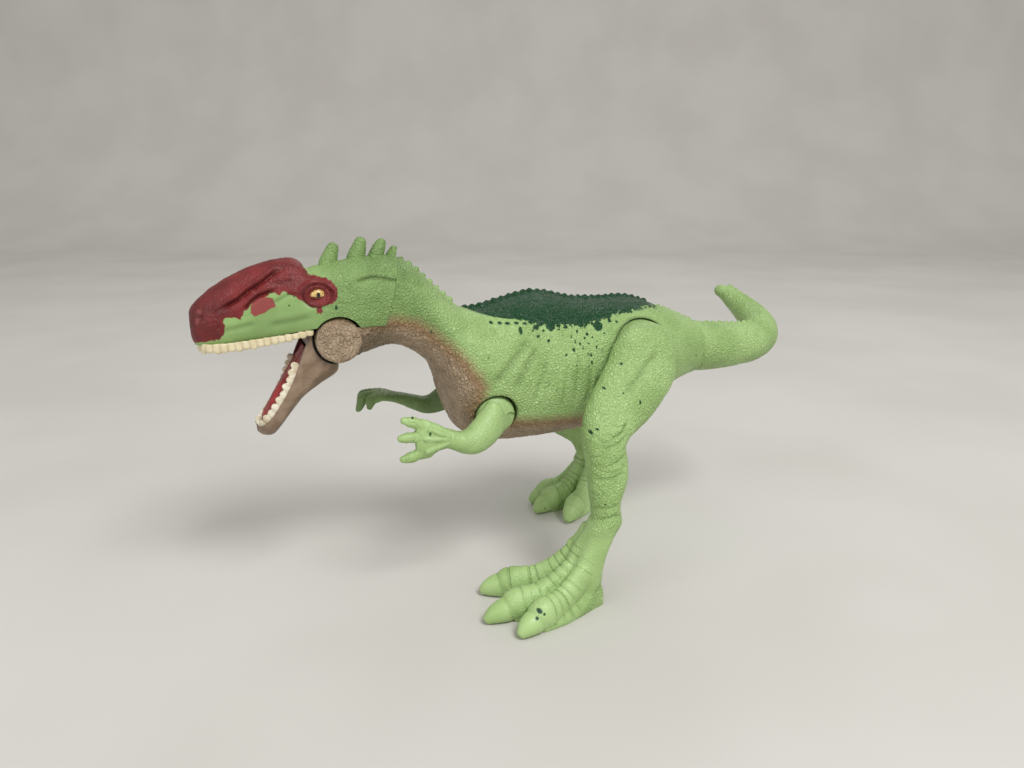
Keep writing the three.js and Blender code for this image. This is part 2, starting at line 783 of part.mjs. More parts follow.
function jawRings(rows, inset, lift, sides) {
  return rows.map(([rimAhead, rimUp, underAhead, underUp, width]) => {
    const rim = jawPlace(rimAhead, rimUp).addScaledVector(jawUp, lift);
    const under = jawPlace(underAhead, underUp).addScaledVector(jawUp, inset);
    const shape = { widestShare: 0.55, power: 2.6 };
    return sectionRing(rim, under, acrossY, width * jawHalfWidth - inset, shape, sides);
  });
}

// Line of tooth roots of the lower jaw on one side: ahead, up, out
const lowerToothShares = [
  [0.37, 0.27, 0.82], [0.48, 0.19, 0.78], [0.62, 0.12, 0.71], [0.75, 0.09, 0.64], [0.87, 0.08, 0.53],
  [0.94, 0.1, 0.33], [0.955, 0.11, 0],
];

function lowerJaw() {
  const body = skin(jawRings(jawShares, 0, wall, jawSides)).subtract(aboveJawRim());
  const trough = skin(jawRings(jawShares.slice(troughFirst, troughLast), lipWall, 2 * wall, jawSides));
  const curve = bothSides(lowerToothShares, ([ahead, up, out], side) => {
    const root = jawPlace(ahead, up);
    return point(root.x, side * out * jawHalfWidth, root.z);
  });
  const teeth = toothRow(curve, lowerTeeth, jawUp, lowerToothHeight);
  const barrel = crossRod(jawHinge, -barrelHalfLength, barrelHalfLength, barrelRadius);
  const beside = jawLobes(lobeRadius + turnGap, barrelHalfLength, overrun);
  const behind = backOfBarrel();
  const bore = crossRod(jawHinge, -overrun, overrun, jawPinRadius + screwFit, smallSides);
  return joined([body.subtract(behind).subtract(beside).subtract(trough), barrel, teeth]).subtract(bore);
}

// What lies above the rim of the jaw
function aboveJawRim() {
  const rim = jawShares.map(([ahead, up]) => jawPlace(ahead, up));
  const first = jawPlace(-1, jawShares[0][1]);
  const last = jawPlace(2, jawShares[jawShares.length - 1][1]);
  const line = [first, ...rim, last];
  const raised = line.map((p) => p.clone().addScaledVector(jawUp, overrun)).reverse();
  return sideProfile([...line, ...raised], overrun);
}

// What lies behind the barrel, where the throat is
function backOfBarrel() {
  return block(
    point(jawHinge.x, -overrun, jawHinge.z - overrun),
    point(jawHinge.x + overrun, overrun, jawHinge.z + overrun),
  );
}

// Along the tongue: ahead, thickness
const tongueShares = [[0.4, 0.08], [0.47, 0.14], [0.6, 0.15], [0.74, 0.13], [0.82, 0.06]];
const tongueEndShare = 0.2;
const tongueUpShare = 0.04;
const tongueWidthShare = 1.8;

// Line of the mouth's floor: ahead and up at both ends
const jawFloorShares = [[0, 0.12], [1.2, -0.14]];

function between(from, to, share) {
  return from.map((value, i) => value + (to[i] - value) * share);
}

// What lies above the floor of the mouth
function aboveJawFloor() {
  const [near, far] = jawFloorShares.map(([ahead, up]) => jawPlace(ahead, up));
  const rise = (p) => p.clone().addScaledVector(jawUp, overrun);
  return sideProfile([near, far, rise(far), rise(near)], overrun);
}

function tongueInsert() {
  const rows = jawShares.slice(troughFirst, troughLast);
  const last = rows.length - 1;
  rows[0] = between(rows[0], rows[1], tongueEndShare);
  rows[last] = between(rows[last], rows[last - 1], tongueEndShare);
  const filled = skin(jawRings(rows, lipWall + seatGap, 2 * wall, jawSides)).subtract(aboveJawFloor());
  const tongue = tongueShares.map(([ahead, thick]) => {
    const half = thick * jawDepth;
    return { centre: jawPlace(ahead, tongueUpShare), up: half, across: half * tongueWidthShare };
  });
  return filled.add(limb(tongue, jawUp, smallSides));
}

// Arms from shoulder to palm: ahead, out, up, height and width of the section
const leftArmShares = [
  [0, 0.04, 0.02, 0.93, 0.5],
  [0.077, 0.1, -0.045, 0.9, 0.62],
  [0.168, 0.155, -0.105, 0.82, 0.66],
  [0.282, 0.2, -0.165, 0.72, 0.66],
  [0.377, 0.21, -0.175, 0.6, 0.6],
  [0.462, 0.21, -0.155, 0.5, 0.53],
  [0.542, 0.215, -0.12, 0.48, 0.47],
  [0.607, 0.22, -0.108, 0.58, 0.43],
  [0.682, 0.22, -0.1, 0.78, 0.4],
  [0.752, 0.225, -0.1, 0.98, 0.36],
  [0.817, 0.225, -0.095, 1.04, 0.3],
  [0.862, 0.225, -0.095, 0.9, 0.24],
];
const rightArmShares = [
  [0, 0.04, 0.02, 0.93, 0.5],
  [0.088, 0.105, -0.04, 0.82, 0.6],
  [0.202, 0.17, -0.105, 0.7, 0.62],
  [0.311, 0.21, -0.165, 0.58, 0.58],
  [0.412, 0.22, -0.175, 0.5, 0.52],
  [0.532, 0.23, -0.135, 0.42, 0.46],
  [0.662, 0.24, -0.085, 0.34, 0.42],
  [0.772, 0.24, -0.05, 0.3, 0.55],
  [0.882, 0.24, -0.02, 0.32, 0.84],
  [0.972, 0.24, -0.025, 0.28, 0.86],
];

// Fingers: root, knuckle and tip, each ahead, out, up
const leftFingerShares = [
  [[0.762, 0.225, 0.02], [0.872, 0.23, 0.075], [0.967, 0.235, 0.105]],
  [[0.802, 0.225, -0.08], [0.915, 0.235, -0.06], [1.003, 0.24, -0.06]],
  [[0.782, 0.225, -0.21], [0.892, 0.23, -0.25], [0.987, 0.235, -0.262]],
];
const rightFingerShares = [
  [[0.902, 0.34, -0.02], [1.042, 0.37, -0.035], [1.092, 0.375, -0.15]],
  [[0.922, 0.24, -0.02], [1.072, 0.24, -0.03], [1.127, 0.24, -0.16]],
  [[0.902, 0.14, -0.02], [1.012, 0.12, -0.035], [1.032, 0.12, -0.11]],
];
const arms = {
  left: { side: -1, rows: leftArmShares, fingers: leftFingerShares },
  right: { side: 1, rows: rightArmShares, fingers: rightFingerShares },
};
const fingerRadius = 1.25;
const fingerThickShares = [0.95, 1, 0.85, 0.4];

function armPlace([ahead, out, up], side) {
  return point(
    shoulder.x - ahead * armReach,
    side * ((armSeat + armDiscOut) / 2 + out * armReach),
    shoulder.z + up * armReach,
  );
}

function arm({ side, rows, fingers }) {
  const stops = rows.map((row) => {
    return { centre: armPlace(row, side), up: row[3] * armThickness, across: row[4] * armThickness };
  });
  const disc = limbDisc(shoulder, side, armDiscRadius, armSeat + seatGap, armDiscFlush, armDiscOut);
  const peg = crossRod(shoulder, side * (armSeat - wall), side * (armSeat + wall), armPegRadius);
  const digits = fingers.map((places) => finger(places, side));
  const solid = joined([limb(stops, upZ, limbSides, 2.2), disc, peg, ...digits]);
  return solid.subtract(limbScrewHole(shoulder, armSeat, side));
}

function finger(places, side) {
  const [root, knuckle, tip] = places.map((place) => armPlace(place, side));
  const centres = [root, knuckle, knuckle.clone().lerp(tip, 1 / 2), tip];
  const stops = centres.map((centre, i) => {
    const thick = fingerThickShares[i] * fingerRadius;
    return { centre, up: thick, across: thick };
  });
  return limb(stops, acrossY, toeSides);
}

// Pilot hole in a limb's peg
function limbScrewHole(place, seat, side) {
  const start = side * (seat - wall - seatGap - washerThickness - seatGap);
  const depth = limbScrewLength + seatGap;
  return crossRod(place, start, start + side * depth, screwShankRadius + screwFit, smallSides);
}

// Washer and screw that hold a limb's peg from inside the trunk
function limbFasteners(place, seat, radius, side) {
  const into = point(0, side, 0);
  const face = seat - wall - seatGap;
  const washerPlace = point(place.x, side * (face - washerThickness), place.z);
  const screwPlace = point(place.x, side * (face - washerThickness - seatGap), place.z);
  return {
    washer: washer(washerPlace, into, radius, screwShankRadius + screwFit),
    screw: screw(screwPlace, into, limbScrewLength),
  };
}

// Legs: front ahead, front up, rear ahead, rear up, out, width
// Ahead is a share of legReach from the hip, up of hipHeight from the ground, out of ankleOut
const leftLegShares = [
  [0.272, 1.145, -0.108, 1.147, 0.6, 0.4],
  [0.462, 1.08, -0.238, 1.087, 0.62, 0.66],
  [0.562, 1.004, -0.283, 1.011, 0.65, 0.82],
  [0.692, 0.938, -0.243, 0.917, 0.685, 0.92],
  [0.812, 0.871, -0.098, 0.852, 0.72, 1],
  [0.902, 0.805, 0.102, 0.777, 0.755, 1.04],
  [0.957, 0.746, 0.362, 0.72, 0.8, 1.02],
  [0.972, 0.686, 0.482, 0.678, 0.837, 0.96],
  [0.962, 0.629, 0.482, 0.614, 0.874, 0.92],
  [0.957, 0.564, 0.497, 0.553, 0.91, 0.88],
  [0.957, 0.5, 0.562, 0.5, 0.948, 0.82],
  [0.947, 0.432, 0.632, 0.436, 0.978, 0.76],
  [0.962, 0.386, 0.622, 0.371, 1, 0.78],
  [1.062, 0.333, 0.702, 0.314, 1, 0.8],
  [1.162, 0.277, 0.792, 0.239, 1, 0.84],
  [1.212, 0.239, 0.842, 0.159, 0.995, 0.88],
  [1.242, 0.205, 0.862, 0.095, 0.99, 0.9],
  [1.262, 0.14, 0.932, 0.038, 0.985, 0.85],
  [1.262, 0.03, 1.032, -0.03, 0.985, 0.75],
];
const rightLegShares = [
  [0.272, 1.145, -0.108, 1.147, 0.6, 0.4],
  [0.467, 1.08, -0.233, 1.087, 0.62, 0.66],
  [0.557, 1.004, -0.288, 1.004, 0.65, 0.82],
  [0.627, 0.934, -0.298, 0.928, 0.685, 0.92],
  [0.677, 0.864, -0.268, 0.845, 0.72, 1],
  [0.707, 0.792, -0.218, 0.769, 0.755, 1.04],
  [0.722, 0.72, -0.158, 0.708, 0.8, 1.02],
  [0.702, 0.644, -0.148, 0.655, 0.84, 0.96],
  [0.612, 0.559, -0.238, 0.606, 0.88, 0.92],
  [0.392, 0.466, -0.368, 0.561, 0.92, 0.88],
  [0.142, 0.403, -0.498, 0.511, 0.96, 0.84],
  [-0.058, 0.348, -0.618, 0.455, 1, 0.8],
  [-0.168, 0.28, -0.738, 0.386, 1.04, 0.8],
  [-0.138, 0.22, -0.788, 0.294, 1.07, 0.84],
  [-0.138, 0.167, -0.758, 0.18, 1.09, 0.88],
  [-0.138, 0.114, -0.718, 0.076, 1.1, 0.85],
  [-0.188, 0.03, -0.638, -0.03, 1.1, 0.75],
];

// Foot of each leg: ankle ahead and out, how far the toes point inward in degrees, and its size
const feet = {
  left: { side: -1, ankleAhead: 0.862, ankleOutShare: 1, toeIn: -1, sizeShare: 1, rows: leftLegShares },
  right: {
    side: 1, ankleAhead: -0.418, ankleOutShare: 1.056, toeIn: 18, sizeShare: 0.8, rows: rightLegShares,
  },
};

// Toes: inward at the ankle, turned inward in degrees, length
const toeShares = [
  { root: 0.08, turn: 23, length: 0.95 },
  { root: 0, turn: 0, length: 1 },
  { root: 0, turn: -20, length: 0.88 },
];

// Along a toe from the ankle to the claw's tip: ahead, height of the centre, half height, half width
const toeStopShares = [
  [0.03, 4.3, 0.6, 0.62],
  [0.13, 3, 0.7, 0.7],
  [0.3, 1.85, 0.78, 0.78],
  [0.48, 1.2, 0.88, 0.85],
  [0.63, 0.96, 0.98, 0.95],
  [0.71, 0.95, 1, 1.03],
  [0.76, 0.85, 0.9, 0.93],
  [0.775, 0.72, 0.78, 0.8],
  [0.86, 0.62, 0.67, 0.68],
  [0.94, 0.42, 0.47, 0.45],
  [1, 0.2, 0.2, 0.2],
];

function legPlace(ahead, up, out, side) {
  return point(hip.x - ahead * legReach, side * out * ankleOut, up * hipHeight);
}

function legRings({ rows, side }) {
  return rows.map(([frontAhead, frontUp, rearAhead, rearUp, out, width]) => {
    const front = legPlace(frontAhead, frontUp, out, side);
    const rear = legPlace(rearAhead, rearUp, out, side);
    const shape = { widestShare: 0.5, power: 2.2 };
    return sectionRing(front, rear, acrossY, width * legHalfWidth, shape, limbSides);
  });
}

const quarterTurn = 90;

// Level direction turned inward from straight ahead
function heading(degrees, side) {
  const angle = THREE.MathUtils.degToRad(degrees);
  return point(-Math.cos(angle), -side * Math.sin(angle), 0);
}

function toe(foot, { root, turn, length }) {
  const { side, toeIn, sizeShare } = foot;
  const ankle = legPlace(foot.ankleAhead, 0, foot.ankleOutShare, side);
  const start = ankle.addScaledVector(heading(toeIn + quarterTurn, side), root * footReach);
  const ahead = heading(toeIn + turn, side);
  const stops = toeStopShares.map(([share, rise, up, across]) => {
    const centre = start.clone().addScaledVector(ahead, share * length * sizeShare * footReach);
    centre.addScaledVector(upZ, rise * toeRadius);
    return { centre, up: up * toeRadius, across: across * toeRadius };
  });
  return limb(stops, upZ, toeSides);
}

// Small claw on the inner side of the shank: its root up and inward, its reach and drop, its
// thickness, and how many degrees it turns inward
const dewClawShares = { up: 0.29, inward: 0.55, reach: 1.5, drop: 0.7, thick: 0.5 };
const dewClawTurn = 20;

function dewClaw({ side, toeIn, ankleAhead, ankleOutShare }) {
  const { up, inward, reach, drop, thick } = dewClawShares;
  const root = legPlace(ankleAhead, up, ankleOutShare, side)
    .addScaledVector(heading(toeIn + quarterTurn, side), inward * legHalfWidth);
  const tip = root.clone().addScaledVector(heading(toeIn + dewClawTurn, side), reach * toeRadius);
  return spike(root, tip.addScaledVector(upZ, -drop * toeRadius), thick * toeRadius, toeSides);
}

function leg(foot) {
  const { side } = foot;
  const shank = skin(legRings(foot));
  const disc = limbDisc(hip, side, hipDiscRadius, hipSeat + seatGap, hipDiscFlush, hipDiscOut);
  const peg = crossRod(hip, side * (hipSeat - wall), side * (hipSeat + wall), hipPegRadius);
  const toes = toeShares.map((row) => toe(foot, row));
  const solid = joined([shank, disc, peg, dewClaw(foot), ...toes]);
  const groundStart = point(-2 * trunkLength, -2 * ankleOut, -overrun);
  const ground = block(groundStart, point(trunkLength, 2 * ankleOut, 0));
  return solid.subtract(ground).subtract(limbScrewHole(hip, hipSeat, side));
}

const figure = new THREE.Group();

function addPiece(name, solid, colour, finish) {
  const looks = { color: colour, roughness: 0.5, metalness: 0, ...finish };
  const material = new THREE.MeshStandardMaterial(looks);
  const mesh = new THREE.Mesh(geometryOf(solid), material);
  mesh.name = name;
  figure.add(mesh);
}

const steel = { roughness: 0.35, metalness: 1 };

function addTrunk() {
  const trunk = trunkBody().subtract(trunkCuts());
  addPiece('left_torso_shell', shellHalf(trunk, -1), colours.skin);
  addPiece('right_torso_shell', shellHalf(trunk, 1), colours.skin);
  trunkScrews.forEach((place, i) => {
    const under = point(place.x, trunkScrewFloor + seatGap, place.z);
    const solid = screw(under, point(0, -1, 0), trunkScrewLength);
    addPiece(`torso_screw_${i + 1}`, solid, colours.steel, steel);
  });
}

function addHead() {
  addPiece('head_shell', headShell(), colours.head);
  addPiece('palate_insert', palateInsert(), colours.teeth);
  addPiece('lower_jaw', lowerJaw(), colours.beige);
  addPiece('tongue_insert', tongueInsert(), colours.mouth);
  const pin = crossRod(jawHinge, -jawPinHalfLength, jawPinHalfLength, jawPinRadius, smallSides);
  addPiece('jaw_pin', pin, colours.pin, steel);
}

function addLimbs() {
  for (const [name, foot] of Object.entries(feet)) {
    const { side } = foot;
    addPiece(`${name}_leg`, leg(foot), colours.skin);
    const hipSet = limbFasteners(hip, hipSeat, hipWasherRadius, side);
    addPiece(`${name}_hip_washer`, hipSet.washer, colours.steel, steel);
    addPiece(`${name}_hip_screw`, hipSet.screw, colours.steel, steel);
    addPiece(`${name}_arm`, arm(arms[name]), colours.skin);
    const armSet = limbFasteners(shoulder, armSeat, armWasherRadius, side);
    addPiece(`${name}_arm_washer`, armSet.washer, colours.steel, steel);
    addPiece(`${name}_arm_screw`, armSet.screw, colours.steel, steel);
  }
}

addTrunk();
addHead();
addLimbs();
addPiece('tail', tail(), colours.skin);

// Origin at the middle of the underside of the figure's box
const box = new THREE.Box3().setFromObject(figure);
const middle = box.getCenter(new THREE.Vector3());
figure.position.set(-middle.x, -middle.y, -box.min.z);
figure.updateMatrixWorld(true);

export default figure;
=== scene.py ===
import json
import math
import bpy
import numpy as np
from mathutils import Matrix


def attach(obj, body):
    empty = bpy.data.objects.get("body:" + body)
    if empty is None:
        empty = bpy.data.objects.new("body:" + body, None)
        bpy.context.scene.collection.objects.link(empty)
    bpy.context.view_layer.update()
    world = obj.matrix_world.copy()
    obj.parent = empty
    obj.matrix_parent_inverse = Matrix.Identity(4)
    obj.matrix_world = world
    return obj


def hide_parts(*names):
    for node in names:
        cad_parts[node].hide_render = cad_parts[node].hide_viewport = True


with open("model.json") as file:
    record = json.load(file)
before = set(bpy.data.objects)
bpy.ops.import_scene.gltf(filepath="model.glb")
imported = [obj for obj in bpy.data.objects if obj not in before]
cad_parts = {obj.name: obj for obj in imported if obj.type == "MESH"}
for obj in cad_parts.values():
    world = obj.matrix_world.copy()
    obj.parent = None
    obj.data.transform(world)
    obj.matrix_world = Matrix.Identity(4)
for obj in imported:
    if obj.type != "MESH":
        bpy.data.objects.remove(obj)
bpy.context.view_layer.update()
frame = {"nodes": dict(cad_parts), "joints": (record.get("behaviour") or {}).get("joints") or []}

# All sizes are in millimetres, in the source's own coordinates: the snout points along -X,
# the toy's left is -Y, and +Z is up. Tables give places as shares of the sizes that they belong to.
MM = 0.001

# Driving sizes, the same as in the source
hip_height = 52.8
trunk_length = 80.0
trunk_depth = 35.0
trunk_half_width = 14.0
head_length = 28.5
head_height = 16.8
head_half_width = 8.9
jaw_length = 25.5
jaw_depth = 8.0
jaw_half_width = 7.3
tail_length = 58.0
tail_radius = 6.5
arm_reach = 23.0
arm_thickness = 4.4
leg_reach = 20.0
leg_half_width = 5.0
ankle_out = 27.0
foot_reach = 27.4
toe_radius = 4.0

# Walls, gaps and joints, the same as in the source
wall = 2.0
seat_gap = 0.3
half_split_gap = 0.15
turn_gap = 0.45
seam_gap = 0.06
overrun = 12.0
hip_disc_radius = 8.0
hip_seat = 9.3
hip_peg_radius = 2.6
hip_disc_flush = 14.0
hip_disc_out = 18.0
arm_disc_radius = 4.3
arm_seat = 8.6
arm_peg_radius = 1.8
arm_disc_flush = 11.6
arm_disc_out = 13.2
lobe_radius = 4.8
lobe_out = 8.2
barrel_radius = 3.4
barrel_half_length = 4.0
jaw_room_radius = 7.4
neck_peg_radius = 4.2
neck_peg_length = 5.0
lip_wall = 1.6
palate_height = 3.2
gum_height = 0.5
tail_neck_radius = 3.0
tail_neck_length = 3.6
tail_flange_radius = 4.3
tail_flange_thickness = 1.8
screw_head_radius = 1.9
trunk_screw_floor = 3.4
boss_radius = 3.2

# Grid of the remeshed pieces
trunk_grid = 0.3
head_grid = 0.2
jaw_grid = 0.2
arm_grid = 0.2
leg_grid = 0.24
tail_grid = 0.3

UP = np.array([0.0, 0.0, 1.0])
ACROSS = np.array([0.0, 1.0, 0.0])


def place(x, y, z):
    return np.array([x, y, z], dtype=float)


def at_line(line, walked, far):
    """Place on a line of points at a walked length."""
    return np.array([np.interp(far, walked, line[:, k]) for k in range(3)])


def walk(line):
    """Walked length at each point of a line."""
    return np.concatenate([[0], np.cumsum(np.linalg.norm(np.diff(line, axis=0), axis=1))])


def unit(vector):
    return vector / np.linalg.norm(vector)


def trunk_place(along, up):
    return place(along * trunk_length, 0, hip_height + up * trunk_depth)


hip = trunk_place(0.0275, 0.004)
shoulder = trunk_place(-0.422, -0.314)
jaw_hinge = trunk_place(-0.839, 0.217)
seam_top = trunk_place(-0.664, 0.68)
seam_low = trunk_place(-0.714, 0.297)
tail_seam = trunk_place(0.296, -0.045)
cheek_line = jaw_hinge[2] + 0.155 * head_height
seam_up = unit(seam_top - seam_low)
seam_out = unit(np.cross(seam_up, ACROSS))

# The source moves the finished figure so that its box is centred: the jaw hinge tells how far
hinge_joint = next(joint for joint in frame["joints"] if joint["name"] == "jaw_hinge")
shift = np.array(hinge_joint["pos_m"]) / MM - jaw_hinge


# Numbers on grids of points


def blend_step(values, low, high):
    t = np.clip((values - low) / (high - low), 0, 1)
    return t * t * (3 - 2 * t)


def lattice(cells, seed):
    """Random-looking number from 0 to 1 for each whole-number place."""
    n = cells[..., 0] * 73856093 ^ cells[..., 1] * 19349663 ^ cells[..., 2] * 83492791
    n = n ^ (seed * 2654435 + 97)
    n = (n ^ (n >> 13)) * 1274126177 & 0x7FFFFFFF
    n = (n ^ (n >> 16)) * 668265263 & 0x7FFFFFFF
    return (n & 0xFFFF) / 0xFFFF


def noise(points, size, seed=0):
    """Smooth noise from -1 to 1 with features about as large as size."""
    spots = points / size + 500
    base = np.floor(spots).astype(np.int64)
    t = spots - base
    t = t * t * (3 - 2 * t)
    total = np.zeros(len(points))
    for corner in np.ndindex(2, 2, 2):
        weight = np.prod(np.where(corner, t, 1 - t), axis=1)
        total += weight * lattice(base + np.array(corner), seed)
    return 2 * total - 1


def pebbles(points, size, seed=0):
    """Rounded cells: 0 in the creases between them and 1 on their tops."""
    spots = points / size + 500
    base = np.floor(spots).astype(np.int64)
    first = np.full(len(points), 9.0)
    second = first.copy()
    for step in np.ndindex(3, 3, 3):
        cell = base + np.array(step) - 1
        centre = cell + np.stack([lattice(cell, seed + k) for k in range(3)], axis=1)
        far = np.linalg.norm(spots - centre, axis=1)
        second = np.minimum(second, np.maximum(first, far))
        first = np.minimum(first, far)
    return np.clip((second - first) * 2.2, 0, 1) ** 0.6


def pebbled(points, pattern, seed):
    """Relief of pebbles; the pattern gives their size and height."""
    size, height = pattern
    return height * (pebbles(points, size, seed) - 0.6)


def swelling(points, pattern, seed):
    """Relief of soft swellings; the pattern gives their size and height."""
    size, height = pattern
    return height * noise(points, size, seed)


def line_distance(flat, line):
    """Distance of points to an open line in their plane, and the place along it from 0 to 1."""
    line = np.array(line, dtype=float)
    steps = line[1:] - line[:-1]
    lengths = np.linalg.norm(steps, axis=1)
    best = np.full(len(flat), 1e9)
    where = np.zeros(len(flat))
    walked = 0
    for start, step, length in zip(line[:-1], steps, lengths):
        t = np.clip((flat - start) @ step / length**2, 0, 1)
        far = np.linalg.norm(flat - start - t[:, None] * step, axis=1)
        closer = far < best
        best = np.where(closer, far, best)
        where = np.where(closer, (walked + t * length) / lengths.sum(), where)
        walked += length
    return best, where


def region(flat, outline):
    """Distance of points to a closed outline, positive inside it."""
    outline = np.array(outline, dtype=float)
    far, _ = line_distance(flat, np.vstack([outline, outline[:1]]))
    inside = np.zeros(len(flat), dtype=bool)
    for (x0, z0), (x1, z1) in zip(outline, np.roll(outline, -1, axis=0)):
        if z0 == z1:
            continue
        crosses = (flat[:, 1] > min(z0, z1)) & (flat[:, 1] <= max(z0, z1))
        at = x0 + (flat[:, 1] - z0) * (x1 - x0) / (z1 - z0)
        inside ^= crosses & (at > flat[:, 0])
    return np.where(inside, far, -far)


def side_view(points):
    return points[:, [0, 2]]


def bell(far, width):
    """1 at no distance, falling to nothing beyond about twice the width."""
    return np.exp(-((far / width) ** 2))


def furrow(flat, line, width):
    """1 along a line and 0 beyond its width, fading at its ends."""
    far, where = line_distance(flat, line)
    ends = np.clip(np.minimum(where, 1 - where) * 6, 0.15, 1)
    return bell(far, width) * ends


# Solids from rings


def refined(rows, steps):
    """Rows between the rows of a table, on smooth curves through them."""
    rows = [np.array(row, dtype=float) for row in rows]
    last = len(rows) - 1
    result = []
    for r in range(last):
        a, b, c, d = (rows[min(max(i, 0), last)] for i in (r - 1, r, r + 1, r + 2))
        slope_b, slope_c = (c - a) / 2, (d - b) / 2
        for s in range(steps):
            t = s / steps
            bend = 3 * (c - b) - 2 * slope_b - slope_c
            twist = 2 * (b - c) + slope_b + slope_c
            result.append(b + t * (slope_b + t * (bend + t * twist)))
    result.append(rows[last])
    return result


def loft(rings):
    """Closed solid through rings of equally many points."""
    rings = np.array(rings, dtype=float)
    count, sides = rings.shape[:2]
    points = np.vstack([rings.reshape(-1, 3), rings[0].mean(0), rings[-1].mean(0)])
    faces = []
    for r in range(count - 1):
        for k in range(sides):
            a, b = r * sides + k, r * sides + (k + 1) % sides
            faces.append((a, b, b + sides, a + sides))
    start, end, last = count * sides, count * sides + 1, (count - 1) * sides
    for k in range(sides):
        after = (k + 1) % sides
        faces.append((start, after, k))
        faces.append((end, last + k, last + after))
    return outward(points, faces)


def outward(points, faces):
    """The solid with its faces turned so that they look out."""
    volume = sum(np.dot(points[f[0]], np.cross(points[f[1]], points[f[2]])) for f in faces)
    quads = [f for f in faces if len(f) == 4]
    volume += sum(np.dot(points[f[0]], np.cross(points[f[2]], points[f[3]])) for f in quads)
    if volume < 0:
        faces = [tuple(reversed(f)) for f in faces]
    return points, faces


def rounded(values, power):
    return np.sign(values) * np.abs(values) ** (2 / power)


def section_ring(first, second, side, half_width, widest_share, power, sides):
    angle = 2 * math.pi * np.arange(sides) / sides
    along = rounded(np.cos(angle), power)[:, None]
    across = rounded(np.sin(angle), power)[:, None]
    widest = first + (second - first) * widest_share
    towards = np.where(along > 0, first, second)
    return widest + (towards - widest) * np.abs(along) + side * across * half_width


def limb(stops, up_hint, sides=40, power=2.0):
    """Solid along a line of centres; each stop gives its centre and half sizes up and across."""
    centres = np.array([stop[0] for stop in stops])
    angle = 2 * math.pi * np.arange(sides) / sides
    rings = []
    for i, (centre, up_size, across_size) in enumerate(stops):
        ahead = unit(centres[min(i + 1, len(stops) - 1)] - centres[max(i - 1, 0)])
        up = unit(up_hint - ahead * np.dot(up_hint, ahead))
        across = np.cross(ahead, up)
        rise = rounded(np.cos(angle), power)[:, None] * up_size
        width = rounded(np.sin(angle), power)[:, None] * across_size
        rings.append(centre + up * rise + across * width)
    return loft(rings)


def lathed(profile, origin, axis, sides=64):
    """Solid turned about an axis from pairs of radius and place along it."""
    axis = unit(axis)
    side = unit(np.cross(axis, UP if abs(axis[2]) < 0.9 else ACROSS))
    other = np.cross(axis, side)
    angle = 2 * math.pi * np.arange(sides) / sides
    circle = np.cos(angle)[:, None] * side + np.sin(angle)[:, None] * other
    return loft([origin + axis * along + circle * radius for radius, along in profile])


def cross_rod(at, near, far, radius, sides=64):
    start = place(at[0], near, at[2])
    return lathed([(radius, 0), (radius, abs(far - near))], start, ACROSS * np.sign(far - near), sides)


def rod(start, end, radius, sides=64):
    return lathed([(radius, 0), (radius, np.linalg.norm(end - start))], start, end - start, sides)


def block(low, high):
    spans = [(low[k], high[k]) for k in range(3)]
    corners = np.array([[x, y, z] for x in spans[0] for y in spans[1] for z in spans[2]])
    faces = [(0, 1, 3, 2), (4, 6, 7, 5), (0, 4, 5, 1), (2, 3, 7, 6), (0, 2, 6, 4), (1, 5, 7, 3)]
    return outward(corners, faces)


def side_profile(places, half_width):
    """Side-view outline made as thick as twice half_width across the toy."""
    ring = np.array([place(p[0], 0, p[2]) for p in places])
    count = len(ring)
    points = np.vstack([ring - ACROSS * half_width, ring + ACROSS * half_width])
    faces = [tuple(range(count)), tuple(reversed(range(count, 2 * count)))]
    for k in range(count):
        after = (k + 1) % count
        faces.append((after, k, k + count, after + count))
    flat = ring[:, [0, 2]]
    turned = sum(flat[k - 1][0] * flat[k][1] - flat[k][0] * flat[k - 1][1] for k in range(count))
    if turned < 0:
        faces = [tuple(reversed(f)) for f in faces]
    return points, faces


def ball(centre, radius, sides=32):
    angle = np.linspace(0.04, math.pi - 0.04, sides // 2)
    return lathed([(radius * math.sin(a), -radius * math.cos(a)) for a in angle], centre, UP, sides)


# Blender objects


def object_of(name, solids):
    points, faces = [], []
    for solid_points, solid_faces in solids:
        start = sum(len(p) for p in points)
        points.append((solid_points + shift) * MM)
        faces.extend(tuple(i + start for i in f) for f in solid_faces)
    mesh = bpy.data.meshes.new(name)
    mesh.from_pydata(np.vstack(points).tolist(), [], faces)
    mesh.update()
    piece = bpy.data.objects.new(name, mesh)
    bpy.context.scene.collection.objects.link(piece)
    return piece


def apply_modifiers(piece):
    bpy.context.view_layer.update()
    shaped = piece.evaluated_get(bpy.context.evaluated_depsgraph_get())
    mesh = bpy.data.meshes.new_from_object(shaped)
    piece.modifiers.clear()
    old = piece.data
    piece.data = mesh
    bpy.data.meshes.remove(old)


def add_grid(piece, grid):
    remesh = piece.modifiers.new("grid", "REMESH")
    remesh.mode = "VOXEL"
    remesh.voxel_size = grid * MM


def united(name, solids, grid, smooth_steps=2):
    """One skin round overlapping solids, on a fine grid."""
    piece = object_of(name, solids)
    add_grid(piece, grid)
    soften = piece.modifiers.new("soften", "SMOOTH")
    soften.factor = 0.5
    soften.iterations = smooth_steps
    apply_modifiers(piece)
    return piece


def combine_object(piece, tool, operation="DIFFERENCE"):
    """Cuts an object from a piece, or joins it to it; the object goes."""
    modifier = piece.modifiers.new("combine", "BOOLEAN")
    modifier.object = tool
    modifier.operation = operation
    modifier.solver = "MANIFOLD"
    apply_modifiers(piece)
    bpy.data.objects.remove(tool)


def combine(piece, solids, operation="DIFFERENCE"):
    """Cuts solids from a piece, or joins them to it, one after the other."""
    for solid in solids:
        combine_object(piece, object_of("tool", [solid]), operation)


